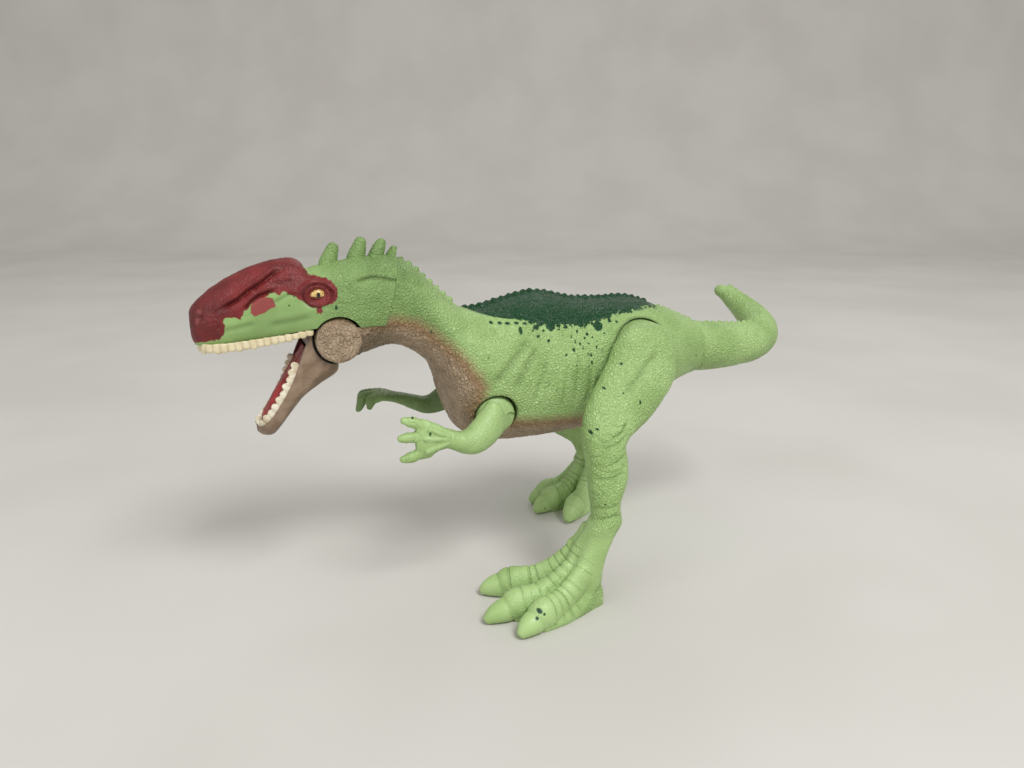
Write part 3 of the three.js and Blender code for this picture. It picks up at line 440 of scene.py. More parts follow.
def copy_of(piece):
    twin = piece.copy()
    twin.data = piece.data.copy()
    bpy.context.scene.collection.objects.link(twin)
    return twin


def points_of(piece):
    """Places and outward directions of a piece's points."""
    mesh = piece.data
    count = len(mesh.vertices)
    flat = np.empty(count * 3)
    mesh.vertices.foreach_get("co", flat)
    normals = np.empty(count * 3)
    mesh.vertex_normals.foreach_get("vector", normals)
    return flat.reshape(-1, 3) / MM - shift, normals.reshape(-1, 3)


def move_points(piece, points):
    piece.data.vertices.foreach_set("co", ((points + shift) * MM).ravel())
    piece.data.update()


def raise_skin(piece, heights):
    points, normals = points_of(piece)
    move_points(piece, points + normals * heights(points, normals)[:, None])


def mark(piece, name, values):
    attribute = piece.data.attributes.new(name, "FLOAT", "POINT")
    attribute.data.foreach_set("value", np.asarray(values, dtype=np.float32))


def finish_piece(piece, material, body, replaced=(), sharp_degrees=38):
    piece.data.materials.clear()
    piece.data.materials.append(material)
    piece.data.polygons.foreach_set("use_smooth", np.ones(len(piece.data.polygons), dtype=bool))
    piece.data.set_sharp_from_angle(angle=math.radians(sharp_degrees))
    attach(piece, body)
    if replaced:
        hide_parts(*replaced)


# Materials


class Paint:
    """Node tree of one material, with short names for the nodes that it uses."""

    def __init__(self, name, roughness, **shader):
        self.material = bpy.data.materials.new(name)
        self.material.use_nodes = True
        self.tree = self.material.node_tree
        self.shader = self.tree.nodes["Principled BSDF"]
        self.shader.inputs["Roughness"].default_value = roughness
        for socket, value in shader.items():
            self.shader.inputs[socket.replace("_", " ")].default_value = value
        coordinates = self.tree.nodes.new("ShaderNodeTexCoord")
        scale = self.tree.nodes.new("ShaderNodeVectorMath")
        scale.operation = "SCALE"
        scale.inputs["Scale"].default_value = 1 / MM
        self.link(coordinates.outputs["Object"], scale.inputs[0])
        self.at = scale.outputs[0]

    def link(self, source, target):
        if hasattr(source, "links"):
            self.tree.links.new(source, target)
        else:
            target.default_value = source

    def stretched(self, x, y, z):
        node = self.tree.nodes.new("ShaderNodeVectorMath")
        node.operation = "MULTIPLY"
        self.link(self.at, node.inputs[0])
        node.inputs[1].default_value = (x, y, z)
        return node.outputs[0]

    def noise(self, size, detail=2.0, at=None, rough=0.5):
        node = self.tree.nodes.new("ShaderNodeTexNoise")
        self.link(at or self.at, node.inputs["Vector"])
        node.inputs["Scale"].default_value = 1 / size
        node.inputs["Detail"].default_value = detail
        node.inputs["Roughness"].default_value = rough
        return node.outputs["Fac"]

    def bent(self, size, amount, stretch=(1.0, 1.0, 1.0)):
        """Coordinates pushed about by noise, so that cells and lines don't run straight."""
        node = self.tree.nodes.new("ShaderNodeTexNoise")
        self.link(self.at, node.inputs["Vector"])
        node.inputs["Scale"].default_value = 1 / size
        moved = self.tree.nodes.new("ShaderNodeVectorMath")
        moved.operation = "MULTIPLY_ADD"
        self.link(node.outputs["Color"], moved.inputs[0])
        moved.inputs[1].default_value = (amount, amount, amount)
        self.link(self.stretched(*stretch), moved.inputs[2])
        return moved.outputs[0]

    def cells(self, size, feature="F1", at=None):
        node = self.tree.nodes.new("ShaderNodeTexVoronoi")
        node.feature = feature
        self.link(at or self.at, node.inputs["Vector"])
        node.inputs["Scale"].default_value = 1 / size
        node.inputs["Randomness"].default_value = 1.0
        return node.outputs["Distance"]

    def math(self, operation, a, b=0.0, clamp=False):
        node = self.tree.nodes.new("ShaderNodeMath")
        node.operation = operation
        node.use_clamp = clamp
        self.link(a, node.inputs[0])
        self.link(b, node.inputs[1])
        return node.outputs[0]

    def times(self, a, b, clamp=False):
        return self.math("MULTIPLY", a, b, clamp)

    def plus(self, a, b):
        return self.math("ADD", a, b)

    def minus(self, a, b, clamp=False):
        return self.math("SUBTRACT", a, b, clamp)

    def either(self, a, b):
        return self.math("MAXIMUM", a, b)

    def frayed(self, size, detail, rough):
        """Noise round zero, which frays the edge of a painted place."""
        return self.minus(self.noise(size, detail, rough=rough), 0.5)

    def range(self, value, low, high, start=0.0, end=1.0):
        node = self.tree.nodes.new("ShaderNodeMapRange")
        node.interpolation_type = "SMOOTHSTEP"
        self.link(value, node.inputs["Value"])
        for socket, number in (("From Min", low), ("From Max", high), ("To Min", start), ("To Max", end)):
            node.inputs[socket].default_value = number
        return node.outputs[0]

    def mix(self, share, a, b, blend="MIX"):
        node = self.tree.nodes.new("ShaderNodeMix")
        node.data_type = "RGBA"
        node.blend_type = blend
        self.link(share, node.inputs["Factor"])
        self.link(a, node.inputs[6])
        self.link(b, node.inputs[7])
        return node.outputs[2]

    def blotched(self, size, detail, edges, a, b):
        """One colour with soft blotches of another."""
        return self.mix(self.range(self.noise(size, detail), *edges), a, b)

    def mask(self, name):
        node = self.tree.nodes.new("ShaderNodeAttribute")
        node.attribute_name = name
        return node.outputs["Fac"]

    def bump(self, height, depth, strength=1.0):
        node = self.tree.nodes.new("ShaderNodeBump")
        node.inputs["Strength"].default_value = strength
        node.inputs["Distance"].default_value = depth * MM
        self.link(height, node.inputs["Height"])
        return node.outputs[0]

    def done(self, colour, roughness=None, normal=None):
        self.link(colour, self.shader.inputs["Base Color"])
        if roughness is not None:
            self.link(roughness, self.shader.inputs["Roughness"])
        if normal is not None:
            self.link(normal, self.shader.inputs["Normal"])
        return self.material


def colour(red, green, blue):
    """Screen colour from 0 to 255 as the linear colour that a shader wants."""
    values = [c / 255 for c in (red, green, blue)]
    return (*[c / 12.92 if c <= 0.04045 else ((c + 0.055) / 1.055) ** 2.4 for c in values], 1.0)


green_light = colour(183, 214, 144)
green_deep = colour(152, 184, 110)
green_head = colour(142, 173, 106)
green_head_deep = colour(118, 148, 88)
# Tint of painted shade in the creases between the skin's pebbles
pebble_pit_painted_shade = colour(150, 168, 116)
# Tint of painted shade in folds, grooves, gaps and shadowed places
crease_shade = colour(84, 84, 60)
dark_green = colour(2, 56, 24)
# Lighter green of a painted highlight on the pebble tops of the dark patch
patch_painted_highlight = colour(10, 80, 36)
beige = colour(178, 157, 132)
beige_deep = colour(112, 90, 66)
beige_edge = colour(152, 122, 88)
crest_red = colour(124, 36, 36)
crest_deep = colour(80, 16, 16)
worn_red = colour(142, 66, 62)

# Sizes of the patterns in the paint, and depths into each painted place between which it fades in
cloud_size = 9.0
pebble_size = 0.66
grain_size = 0.36
pebble_bend = 0.6
leather_size = 0.85
leather_bend = 1.2
leather_blotch = 2.4
edge_fray = 1.3
patch_fray = 0.8
speck_spacing = 4.6
red_blotch = 3.0
shine_size = 1.8
grit_size = 0.5
skin_relief = 0.28
throat_fade = (-2.2, 1.5)
throat_edge_fade = (3.4, 0.8)
patch_fade = (-0.12, 0.14)
splash_fade = (-0.1, 0.12)
red_fade = (-0.1, 0.1)
worn_fade = (-0.3, 0.3)


def skin_pebbles(paint):
    """Domes of the pebbled skin, the grains between them, and how much of both shows."""
    bent = paint.bent(pebble_bend, 0.5)
    dome = paint.range(paint.cells(pebble_size, "DISTANCE_TO_EDGE", at=bent), 0.0, 0.42)
    grain = paint.range(paint.cells(grain_size, "SMOOTH_F1", at=bent), 0.7, 0.1)
    uneven = paint.minus(1.0, paint.mask("smooth"), clamp=True)
    return dome, grain, uneven


def throat_paint(paint, base):
    """Beige leather with a browner edge over the base; also where it is, and its leather."""
    inside = paint.mask("beige")
    fray = paint.times(paint.frayed(edge_fray, 3, 0.6), 1.6)
    throat = paint.range(paint.plus(inside, fray), *throat_fade)
    blotch = paint.range(paint.noise(leather_blotch, 4), 0.35, 0.7)
    tone = paint.mix(paint.times(blotch, 0.5), beige, beige_deep)
    tone = paint.mix(paint.range(inside, *throat_edge_fade), tone, beige_edge)
    bent = paint.bent(leather_bend, 0.9, (1.0, 1.0, 0.7))
    leather = paint.range(paint.cells(leather_size, "DISTANCE_TO_EDGE", at=bent), 0.0, 0.34)
    # Painted shade in the creases between the leather's cells
    tone = paint.mix(paint.times(paint.minus(1.0, leather), 0.3), tone, beige_deep)
    return paint.mix(throat, base, tone), throat, leather


def dark_paint(paint, base, dome):
    """Dark green patch with its splashes and the scattered specks; also where it is."""
    fray = paint.times(paint.frayed(patch_fray, 3, 0.65), paint.mask("ragged"))
    patch = paint.range(paint.plus(paint.mask("patch"), fray), *patch_fade)
    splash = paint.range(paint.plus(paint.mask("spots"), paint.times(fray, 0.25)), *splash_fade)
    speck = paint.range(paint.cells(speck_spacing), 0.065, 0.04)
    speck = paint.times(speck, paint.range(paint.noise(cloud_size, 1), 0.5, 0.56))
    speck = paint.times(speck, paint.mask("specks"))
    dark = paint.either(paint.either(patch, splash), speck)
    # The patch's pebble tops take a lighter green as a painted highlight
    return paint.mix(dark, base, paint.mix(dome, dark_green, patch_painted_highlight)), dark


def red_paint(paint, base):
    """Red of the crest with its worn places; also where it is."""
    fray = paint.times(paint.frayed(edge_fray, 4, 0.6), 1.3)
    red = paint.range(paint.plus(paint.mask("red"), fray), *red_fade)
    cloud = paint.times(paint.range(paint.noise(red_blotch, 3), 0.3, 0.75), 0.6)
    tone = paint.mix(cloud, crest_red, crest_deep)
    tone = paint.mix(paint.range(paint.plus(paint.mask("worn"), fray), *worn_fade), tone, worn_red)
    return paint.mix(red, base, tone), red


def skin_paint(name, base_light, base_deep, roughness):
    """Pebbled skin with the paint that the piece's marks ask for."""
    paint = Paint(name, roughness, Specular_IOR_Level=0.42)
    cloud = paint.range(paint.noise(cloud_size, 3), 0.35, 0.68)
    base = paint.mix(paint.times(cloud, 0.6), base_light, base_deep)
    # Towards the neck the base turns to the greens of the head; on the right arm the same mark lays them on
    # as painted shadow
    base = paint.mix(paint.mask("neck"), base, paint.mix(cloud, green_head, green_head_deep))
    dome, grain, uneven = skin_pebbles(paint)
    # Painted shade in the creases between the pebbles
    pits = paint.times(paint.minus(1.0, dome), uneven)
    base = paint.mix(paint.times(pits, 0.42), base, pebble_pit_painted_shade, "MULTIPLY")
    base, throat, leather = throat_paint(paint, base)
    base, dark = dark_paint(paint, base, dome)
    base, red = red_paint(paint, base)
    # Painted shade where the piece's marks ask for it: folds, grooves, gaps and shadowed places
    base = paint.mix(paint.times(paint.mask("crease"), 0.6, clamp=True), base, crease_shade, "MULTIPLY")

    rough = paint.range(paint.noise(shine_size, 2), 0.2, 0.8, roughness - 0.05, roughness + 0.06)
    rough = paint.minus(rough, paint.times(dark, 0.12))

    calm = paint.times(uneven, paint.minus(1.0, paint.times(red, 0.3)))
    height = paint.plus(paint.times(dome, 0.75), paint.times(grain, 0.35))
    height = paint.times(paint.times(height, calm), paint.minus(1.0, throat))
    height = paint.plus(height, paint.times(paint.times(leather, 0.9), throat))
    height = paint.plus(height, paint.times(paint.noise(grit_size, 3), 0.22))
    return paint.done(base, rough, paint.bump(height, skin_relief))


def flesh_paint(name, light, deep):
    """Wet-looking red of the mouth."""
    blotch, grain, relief = 2.0, 0.9, 0.18
    paint = Paint(name, 0.38, Specular_IOR_Level=0.4)
    tone = paint.blotched(blotch, 3, (0.35, 0.7), light, deep)
    return paint.done(tone, None, paint.bump(paint.noise(grain, 3), relief, 0.7))


def tooth_paint(name, light, deep):
    """Cream plastic, with painted shade in the gaps between the teeth."""
    blotch, grain, relief = 1.6, 0.5, 0.06
    paint = Paint(name, 0.36)
    tone = paint.blotched(blotch, 3, (0.38, 0.7), light, deep)
    # Painted shade in the gaps between the teeth
    gap = paint.times(paint.mask("crease"), 0.45, clamp=True)
    tone = paint.mix(gap, tone, colour(150, 120, 84), "MULTIPLY")
    return paint.done(tone, None, paint.bump(paint.noise(grain, 2), relief, 0.5))


def metal_paint(name, tone, roughness):
    """Turned steel with fine scratches round the axis across the toy."""
    scratch, relief = 0.35, 0.03
    paint = Paint(name, roughness, Metallic=1.0)
    streaks = paint.noise(scratch, 3, paint.stretched(1, 4, 1))
    shade = paint.mix(paint.range(streaks, 0.3, 0.7), tone, colour(150, 152, 156))
    rough = paint.range(streaks, 0.2, 0.8, roughness - 0.06, roughness + 0.1)
    return paint.done(shade, rough, paint.bump(streaks, relief, 0.5))


skin = skin_paint("green_skin", green_light, green_deep, 0.38)
head_skin = skin_paint("head_skin", green_head, green_head_deep, 0.45)
mouth_red = flesh_paint("mouth_red", colour(128, 40, 38), colour(92, 26, 26))
tongue_red = flesh_paint("tongue_red", colour(158, 46, 46), colour(128, 34, 34))
upper_cream = tooth_paint("upper_tooth_cream", colour(222, 211, 176), colour(204, 190, 148))
lower_cream = tooth_paint("lower_tooth_cream", colour(230, 224, 204), colour(208, 196, 166))
steel = metal_paint("screw_steel", colour(186, 190, 196), 0.34)
pin_steel = metal_paint("pin_steel", colour(206, 208, 212), 0.26)


# Painted places and lines, in the side view: along and up

# Depth inside a painted place that stands for far outside it
unpainted = -9.0

patch_outline = [
    (-39.5, 66.5), (-38.5, 64.9), (-35, 63.7), (-33, 63.2), (-30.5, 62.8), (-27, 62.5), (-25, 61.9),
    (-22, 61.2), (-20.5, 60.2), (-17.5, 61.1), (-15, 60.6), (-13, 60), (-10, 60.7), (-7.5, 61.4),
    (-5, 62), (-1.5, 62.6), (2, 62.9), (6, 63.2), (10, 62.8), (11, 64), (10, 72), (-39.5, 72),
]
beige_outline = [
    (-75, 66.6), (-63, 66.4), (-60.4, 64.4), (-58.5, 63.7), (-54.5, 64.3), (-50.5, 63.5), (-47, 61),
    (-43.5, 58), (-40, 54.5), (-38, 51.5), (-36.5, 48.9), (-36.8, 45.5), (-38.2, 43), (-36.5, 40.8),
    (-28.5, 40), (-23, 39.4), (-18, 39.2), (-10, 38.8), (0, 38.4), (8, 38.8), (14, 40), (14, 20), (-75, 20),
]
# Round and oval splashes below the patch: along, up, radius along, radius up
splashes = [
    (-33.6, 62.1, 0.42, 0.34), (-31.8, 62.0, 0.5, 0.33), (-30.2, 61.9, 0.6, 0.32), (-28.2, 61.9, 0.55, 0.32),
    (-26.4, 61.8, 0.5, 0.3), (-27.7, 60.4, 0.42, 0.85), (-24.1, 61, 0.7, 0.6), (-23.9, 59.1, 0.4, 0.34),
    (-21.7, 58, 0.42, 0.42), (-20.6, 61, 1.2, 1.0), (-22.5, 60.2, 0.35, 0.35), (-16.9, 60.6, 0.6, 0.4),
    (-14.2, 59.5, 0.3, 0.3), (-11.8, 58.7, 0.35, 0.35), (-8.7, 60.2, 1.15, 1.0), (-13.9, 56.7, 0.32, 0.42),
    (-11.4, 54.1, 0.26, 0.42), (-15.1, 57.4, 0.28, 0.5), (-15.6, 55.5, 0.34, 0.62), (-5.5, 61.3, 0.5, 0.4),
    (-3.8, 60.9, 0.4, 0.26), (-11.8, 56.7, 0.35, 0.3), (-9.8, 55.8, 0.3, 0.42), (-8.6, 55, 0.26, 0.34),
    (-12.1, 54.3, 0.22, 0.34), (-11.2, 52.4, 0.24, 0.42), (-17.7, 54.6, 0.28, 0.2), (-14.6, 54.2, 0.2, 0.24),
    (-12.6, 57.8, 0.3, 0.36), (-10.6, 58, 0.24, 0.24), (-13.3, 55.7, 0.24, 0.3), (-18.6, 60.2, 0.24, 0.24),
    (-17.9, 58.9, 0.2, 0.26), (-7.6, 58.6, 0.22, 0.22), (-20.1, 46.7, 0.25, 0.2), (-27.2, 61, 0.16, 0.16),
    (-25, 60.3, 0.2, 0.2), (-22.9, 61.4, 0.3, 0.3), (-16, 58.5, 0.26, 0.34), (-9.5, 57, 0.2, 0.28),
]
# Folds and grooves here and below: line, width and depth
flank_folds = [
    ([(-25.3, 59), (-28.5, 56), (-31.5, 52.7), (-33.4, 50.6), (-35.4, 48.2)], 0.95, 0.75),
    ([(-24.4, 57.2), (-26.4, 53.7), (-28.4, 50.3), (-30.2, 47.2)], 0.85, 0.6),
    ([(-22.2, 54.5), (-23.2, 50.5), (-24.8, 46.5), (-25.6, 43)], 0.6, 0.35),
    ([(-14.4, 54), (-14.9, 47.4), (-15.4, 42.8)], 0.5, 0.35),
    ([(-11.7, 52.5), (-11.6, 46.4), (-12.6, 41.8)], 0.5, 0.4),
    ([(-9.4, 50), (-9.8, 45), (-10.4, 41)], 0.45, 0.4),
    ([(-17.4, 51), (-17.9, 46), (-18.2, 41.8)], 0.5, 0.28),
    ([(-7.6, 46.5), (-8.2, 43.5), (-8.6, 40.8)], 0.4, 0.35),
    ([(-54.4, 72.4), (-51, 72), (-47.5, 70.4)], 0.5, 0.3),
]
red_outline = [
    (-97, 60.5), (-95, 61.1), (-92.6, 61.6), (-90.5, 61.8), (-89.5, 62.8), (-89.2, 64.6), (-89.4, 66),
    (-87.3, 66.4), (-86.2, 65.5), (-85.2, 67.4), (-83.5, 69), (-81, 70.2), (-79.3, 70.8), (-78.4, 70.3),
    (-77.2, 71.1), (-75.9, 70.3), (-74.6, 69.5), (-73.9, 68.9), (-72.8, 68.2), (-71.3, 67.8),
    (-71.5, 66.4), (-70.5, 66.3), (-70.2, 67.9), (-68.7, 68.2), (-67.6, 68.7), (-67, 70.1), (-66.9, 71.6),
    (-68, 73), (-69.8, 73.7), (-72, 74.2), (-72.9, 75.5), (-73.6, 78), (-80, 82), (-99, 78),
]
worn_outline = [
    (-84.2, 67), (-83.8, 68.9), (-82.6, 69.6), (-80.8, 69.9), (-79.6, 69.8), (-79.2, 68.2), (-81.4, 66.8),
    (-83.3, 66.3),
]
# Spots: along, up, radius along, radius up
worn_spots = [
    (-93.8, 67.5, 0.5, 0.45), (-94.3, 65.7, 0.5, 0.6), (-85.5, 70, 0.32, 0.36), (-83.2, 71.1, 0.24, 0.24),
]


def spot_distance(flat, spots):
    """Distance inside the nearest of some ovals, about in millimetres."""
    best = np.full(len(flat), unpainted)
    for along, up, wide, tall in spots:
        ratio = np.hypot((flat[:, 0] - along) / wide, (flat[:, 1] - up) / tall)
        best = np.maximum(best, (1 - ratio) * min(wide, tall))
    return best


def paint_marks(piece, **marks):
    """Marks that the skin paint reads, with the ones left out at values that paint nothing."""
    count = len(piece.data.vertices)
    for names, value in ((("beige", "patch", "spots", "red", "worn"), unpainted),
                         (("crease", "smooth", "ragged", "specks", "neck"), 0.0)):
        for name in names:
            mark(piece, name, marks.get(name, np.full(count, value)))


# Trunk

# Rings from tail to head: top along and up, low along and up, half width, squareness
trunk_shares = [
    (0.296, 0.146, 0.296, -0.236, 0.48, 2.1),
    (0.25, 0.19, 0.24, -0.264, 0.6, 2.2),
    (0.163, 0.271, 0.131, -0.35, 0.8, 2.5),
    (0.056, 0.346, 0.031, -0.45, 0.95, 2.6),
    (-0.044, 0.351, -0.069, -0.525, 0.99, 2.5),
    (-0.138, 0.363, -0.181, -0.558, 0.97, 2.3),
    (-0.25, 0.417, -0.294, -0.575, 0.98, 2.2),
    (-0.35, 0.383, -0.406, -0.56, 0.96, 2.1),
    (-0.431, 0.337, -0.498, -0.466, 0.88, 2.1),
    (-0.485, 0.349, -0.543, -0.237, 0.77, 2.1),
    (-0.531, 0.434, -0.569, -0.037, 0.67, 2.1),
    (-0.581, 0.54, -0.619, 0.074, 0.6, 2.1),
    (-0.631, 0.64, -0.675, 0.134, 0.56, 2.2),
    (-0.673, 0.689, -0.738, 0.117, 0.56, 2.3),
    (-0.731, 0.69, -0.794, 0.077, 0.58, 2.4),
    (-0.78, 0.69, -0.822, 0.069, 0.585, 2.4),
]
cavity_rows = slice(2, 12)
# Patterns of the moulded skin here and below: size and height
trunk_pebble = (1.05, 0.08)
trunk_swell = (3.2, 0.08)
throat_fold = (1.1, 0.3)
throat_pebble = (1.0, 0.14)
lobe_swell = (1.6, 0.06)
lobe_grain = (0.7, 0.05)
throat_along = (-52, -59)
crease_width = 0.35
lobe_edge = 0.7
scale_radius = 1.05
scale_height = 0.75
patch_along = (-38.5, 11)
nape_along = (-53, -39.5)
rump_start = 12
neck_tone_along = (-39, -51)
neck_tone_up = 65
ragged_along = (-30, -24)
trunk_screw_shares = [(-0.588, 0.32), (-0.27, 0.15), (-0.3, -0.38), (0.178, -0.06)]
trunk_screws = [trunk_place(*shares) for shares in trunk_screw_shares]


def trunk_rings(rows, inset, sides):
    rings = []
    for top_along, top_up, low_along, low_up, width, power in rows:
        top = trunk_place(top_along, top_up)
        low = trunk_place(low_along, low_up)
        down = unit(low - top)
        half = width * trunk_half_width - inset
        rings.append(section_ring(top + down * inset, low - down * inset, ACROSS, half, 0.5, power, sides))
    return rings


def head_zone(gap):
    low = seam_low + seam_out * gap
    far = jaw_hinge[0] - 2 * overrun
    top = seam_top[2] + overrun
    slope = (seam_top[0] - seam_low[0]) / (seam_top[2] - seam_low[2])
    line = cheek_line + gap
    corner = place(low[0] - (low[2] - line) * slope, 0, line)
    upper = place(low[0] + (top - low[2]) * slope, 0, top)
    return side_profile([corner, upper, place(far, 0, top), place(far, 0, line)], 2 * overrun)


def ridge_scales(line, count, radius, height, lean=0.25):
    """Row of small pointed scales along a line, leaning to its end."""
    line = np.array(line)
    walked = walk(line)
    step = walked[-1] / (len(line) - 1)
    scales = []
    for i in range(count):
        far = walked[-1] * (i + 0.5) / count
        foot = at_line(line, walked, far)
        ahead = unit(at_line(line, walked, min(far + step, walked[-1])) - foot + 1e-9)
        up = unit(UP - ahead * np.dot(UP, ahead))
        size = radius * (0.85 + 0.3 * ((i * 7) % 5) / 5)
        tip = foot + up * height + ahead * lean
        shares = ((foot - up * size * 0.8, 1, 0.85), (foot + up * height * 0.35, 0.85, 0.7), (tip, 0.35, 0.3))
        stops = [(centre, size * wide, size * thick) for centre, wide, thick in shares]
        scales.append(limb(stops, ahead, 12))
    return scales


def trunk_heights(points, normals):
    flat = side_view(points)
    throat = blend_step(region(flat, beige_outline), -1.5, 1.5)
    patch = blend_step(region(flat, patch_outline), -0.5, 0.8)
    rise = pebbled(points, trunk_pebble, 3) * (1 - throat) * (1 + 0.6 * patch)
    rise += swelling(points, trunk_swell, 5)
    fold_size, fold_height = throat_fold
    leather = 1 - np.abs(noise(points * place(1.0, 1.0, 0.62), fold_size, 8))
    rise += throat * (fold_height * (leather - 0.62) + pebbled(points, throat_pebble, 11))
    sides = blend_step(np.abs(normals[:, 1]), 0.25, 0.6)
    for line, width, depth in flank_folds:
        rise -= furrow(flat, line, width) * depth * sides
        beside = np.array(line) + np.array([width * 1.7, 0])
        rise += furrow(flat, beside, width * 1.2) * depth * 0.35 * sides
    return rise


def trunk_creases(points):
    flat = side_view(points)
    shade = np.zeros(len(points))
    # Painted shade along the flank folds
    for line, width, depth in flank_folds:
        shade = np.maximum(shade, furrow(flat, line, width * 0.8) * depth * 0.6)
    # Painted shadow of the head and jaw on the throat
    throat = blend_step(points[:, 0], *throat_along) * blend_step(region(flat, beige_outline), 0, 2)
    shade = np.maximum(shade, 0.75 * throat * (np.abs(points[:, 1]) < lobe_out - 2 * seat_gap))
    # Painted shade in the gaps round the hip and shoulder discs
    for joint, radius in ((hip, hip_disc_radius), (shoulder, arm_disc_radius)):
        far = np.hypot(points[:, 0] - joint[0], points[:, 2] - joint[2]) - radius - turn_gap
        shade = np.maximum(shade, bell(far, crease_width) * 0.8)
    return shade


def tail_plug(grow):
    """Neck and flange of the tail's plug; with room round it where it is cut from the trunk."""
    face = tail_seam[0] + overrun * np.sign(grow)
    neck_end = tail_seam[0] - tail_neck_length
    flange_end = neck_end - tail_flange_thickness
    spans = ((face + seat_gap, neck_end - seat_gap, tail_neck_radius),
             (neck_end + grow, flange_end - grow, tail_flange_radius))
    return [rod(place(start, 0, tail_seam[2]), place(end, 0, tail_seam[2]), radius + grow)
            for start, end, radius in spans]


def trunk_cutters():
    cuts = []
    out = trunk_half_width + overrun
    for side in (-1, 1):
        for at, seat, disc, peg, sides in ((hip, hip_seat, hip_disc_radius, hip_peg_radius, 128),
                                           (shoulder, arm_seat, arm_disc_radius, arm_peg_radius, 96)):
            cuts.append(cross_rod(at, side * seat, side * out, disc + turn_gap, sides))
            cuts.append(cross_rod(at, side * (seat - wall - seat_gap), side * out, peg + seat_gap))
    for at in trunk_screws:
        cuts.append(cross_rod(at, trunk_screw_floor, out, screw_head_radius + seat_gap))
    return cuts + tail_plug(seat_gap)


def cavity():
    inner = object_of("cavity", [loft(trunk_rings(trunk_shares[cavity_rows], wall, 32))])
    pads = []
    for side in (-1, 1):
        for at, seat, disc in ((hip, hip_seat, hip_disc_radius), (shoulder, arm_seat, arm_disc_radius)):
            pads.append(cross_rod(at, side * (seat - wall), side * trunk_half_width, disc + turn_gap + wall))
    pads += [cross_rod(at, -trunk_half_width, trunk_half_width, boss_radius) for at in trunk_screws]
    combine(inner, pads)
    return inner


def jaw_lobe(side):
    """Round lobe of the throat beside the jaw's hinge, with a soft rim."""
    slope = 0.3 * lobe_edge
    profile = [(lobe_radius, 0), (lobe_radius, lobe_out - lobe_edge), (lobe_radius - slope, lobe_out - slope),
               (lobe_radius - lobe_edge, lobe_out), (lobe_radius * 0.3, lobe_out + lobe_edge * 0.2)]
    return lathed(profile, jaw_hinge, ACROSS * side, 96)


def throat_heights(points, normals):
    return swelling(points, lobe_swell, 21) + swelling(points, lobe_grain, 22)


def trunk_body():
    """Both halves in one: hull, scales, throat, seats, cavity and the room of the jaw's barrel."""
    rows = refined(trunk_shares, 6)
    top_line = [trunk_place(row[0], row[1]) for row in rows]
    patch_part = [p for p in top_line if patch_along[0] < p[0] < patch_along[1]]
    nape_part = [p for p in top_line if nape_along[0] < p[0] < nape_along[1]]
    rump_part = [p for p in top_line if p[0] > rump_start]
    scales = ridge_scales(patch_part[::-1], 27, scale_radius, scale_height)
    scales += ridge_scales(nape_part[::-1], 8, 1.0, 0.8)
    scales += ridge_scales(rump_part[::-1], 7, 0.8, 0.5)
    trunk = united("trunk", [loft(trunk_rings(rows, 0, 96))] + scales, trunk_grid)
    raise_skin(trunk, trunk_heights)
    combine(trunk, [head_zone(0)])
    throat = united("throat", [jaw_lobe(-1), jaw_lobe(1)], jaw_grid, 4)
    raise_skin(throat, throat_heights)
    combine_object(trunk, throat, "UNION")
    combine(trunk, trunk_cutters())
    combine_object(trunk, cavity())
    reach = barrel_half_length + turn_gap
    combine(trunk, [cross_rod(jaw_hinge, -reach, reach, barrel_radius + turn_gap)])
    combine(trunk, [block(place(jaw_hinge[0] - overrun, -reach, jaw_hinge[2] - overrun),
                          place(jaw_hinge[0], reach, jaw_hinge[2] + overrun))])
    return trunk


def paint_trunk(half):
    points, _ = points_of(half)
    flat = side_view(points)
    inside = region(flat, beige_outline)
    paint_marks(
        half, beige=inside, patch=region(flat, patch_outline), spots=spot_distance(flat, splashes),
        crease=trunk_creases(points), ragged=blend_step(points[:, 0], *ragged_along) * 3.2 + 0.3,
        specks=np.ones(len(points)), smooth=blend_step(inside, -0.5, 1) * 0.5,
        neck=blend_step(points[:, 0] + 0.4 * (points[:, 2] - neck_tone_up), *neck_tone_along),
    )


def build_trunk():
    trunk = trunk_body()
    for name, side in (("left", -1), ("right", 1)):
        half = copy_of(trunk)
        half.name = name + "_trunk_skin"
        ends = sorted((side * half_split_gap, side * (trunk_half_width + overrun)))
        low = place(-2 * trunk_length, ends[0], 0)
        high = place(trunk_length, ends[1], 2 * hip_height)
        combine(half, [block(low, high)], "INTERSECT")
        paint_trunk(half)
        finish_piece(half, skin, "torso", [name + "_torso_shell"])
    bpy.data.objects.remove(trunk)


build_trunk()


# Tail

# Stops along the tail: along, across, up, half size up and across
tail_shares = [
    (-0.02, 0, 0, 1.03, 1.03),
    (0.1, 0, -0.012, 0.95, 0.96),
    (0.225, 0, -0.014, 0.87, 0.88),
    (0.33, 0.008, -0.008, 0.81, 0.82),
    (0.398, 0.035, 0.008, 0.75, 0.76),
    (0.438, 0.085, 0.033, 0.7, 0.71),
    (0.457, 0.15, 0.062, 0.64, 0.65),
    (0.457, 0.215, 0.093, 0.56, 0.57),
    (0.443, 0.275, 0.128, 0.47, 0.47),
    (0.424, 0.32, 0.158, 0.39, 0.39),
    (0.393, 0.345, 0.178, 0.25, 0.25),
]


tail_pebble = (1.2, 0.09)
tail_swell = (3.0, 0.1)
tail_scale_radius = 0.9
tail_scale_height = 0.62
seam_roll_width = 0.8
seam_roll_depth = 0.12


def tail_place(row):
    return place(row[0] * tail_length, row[1] * tail_length, row[2] * tail_length) + tail_seam


def tail_heights(points, normals):
    rise = pebbled(points, tail_pebble, 4) + swelling(points, tail_swell, 6)
    return rise - seam_roll_depth * bell(points[:, 0] - tail_seam[0], seam_roll_width)


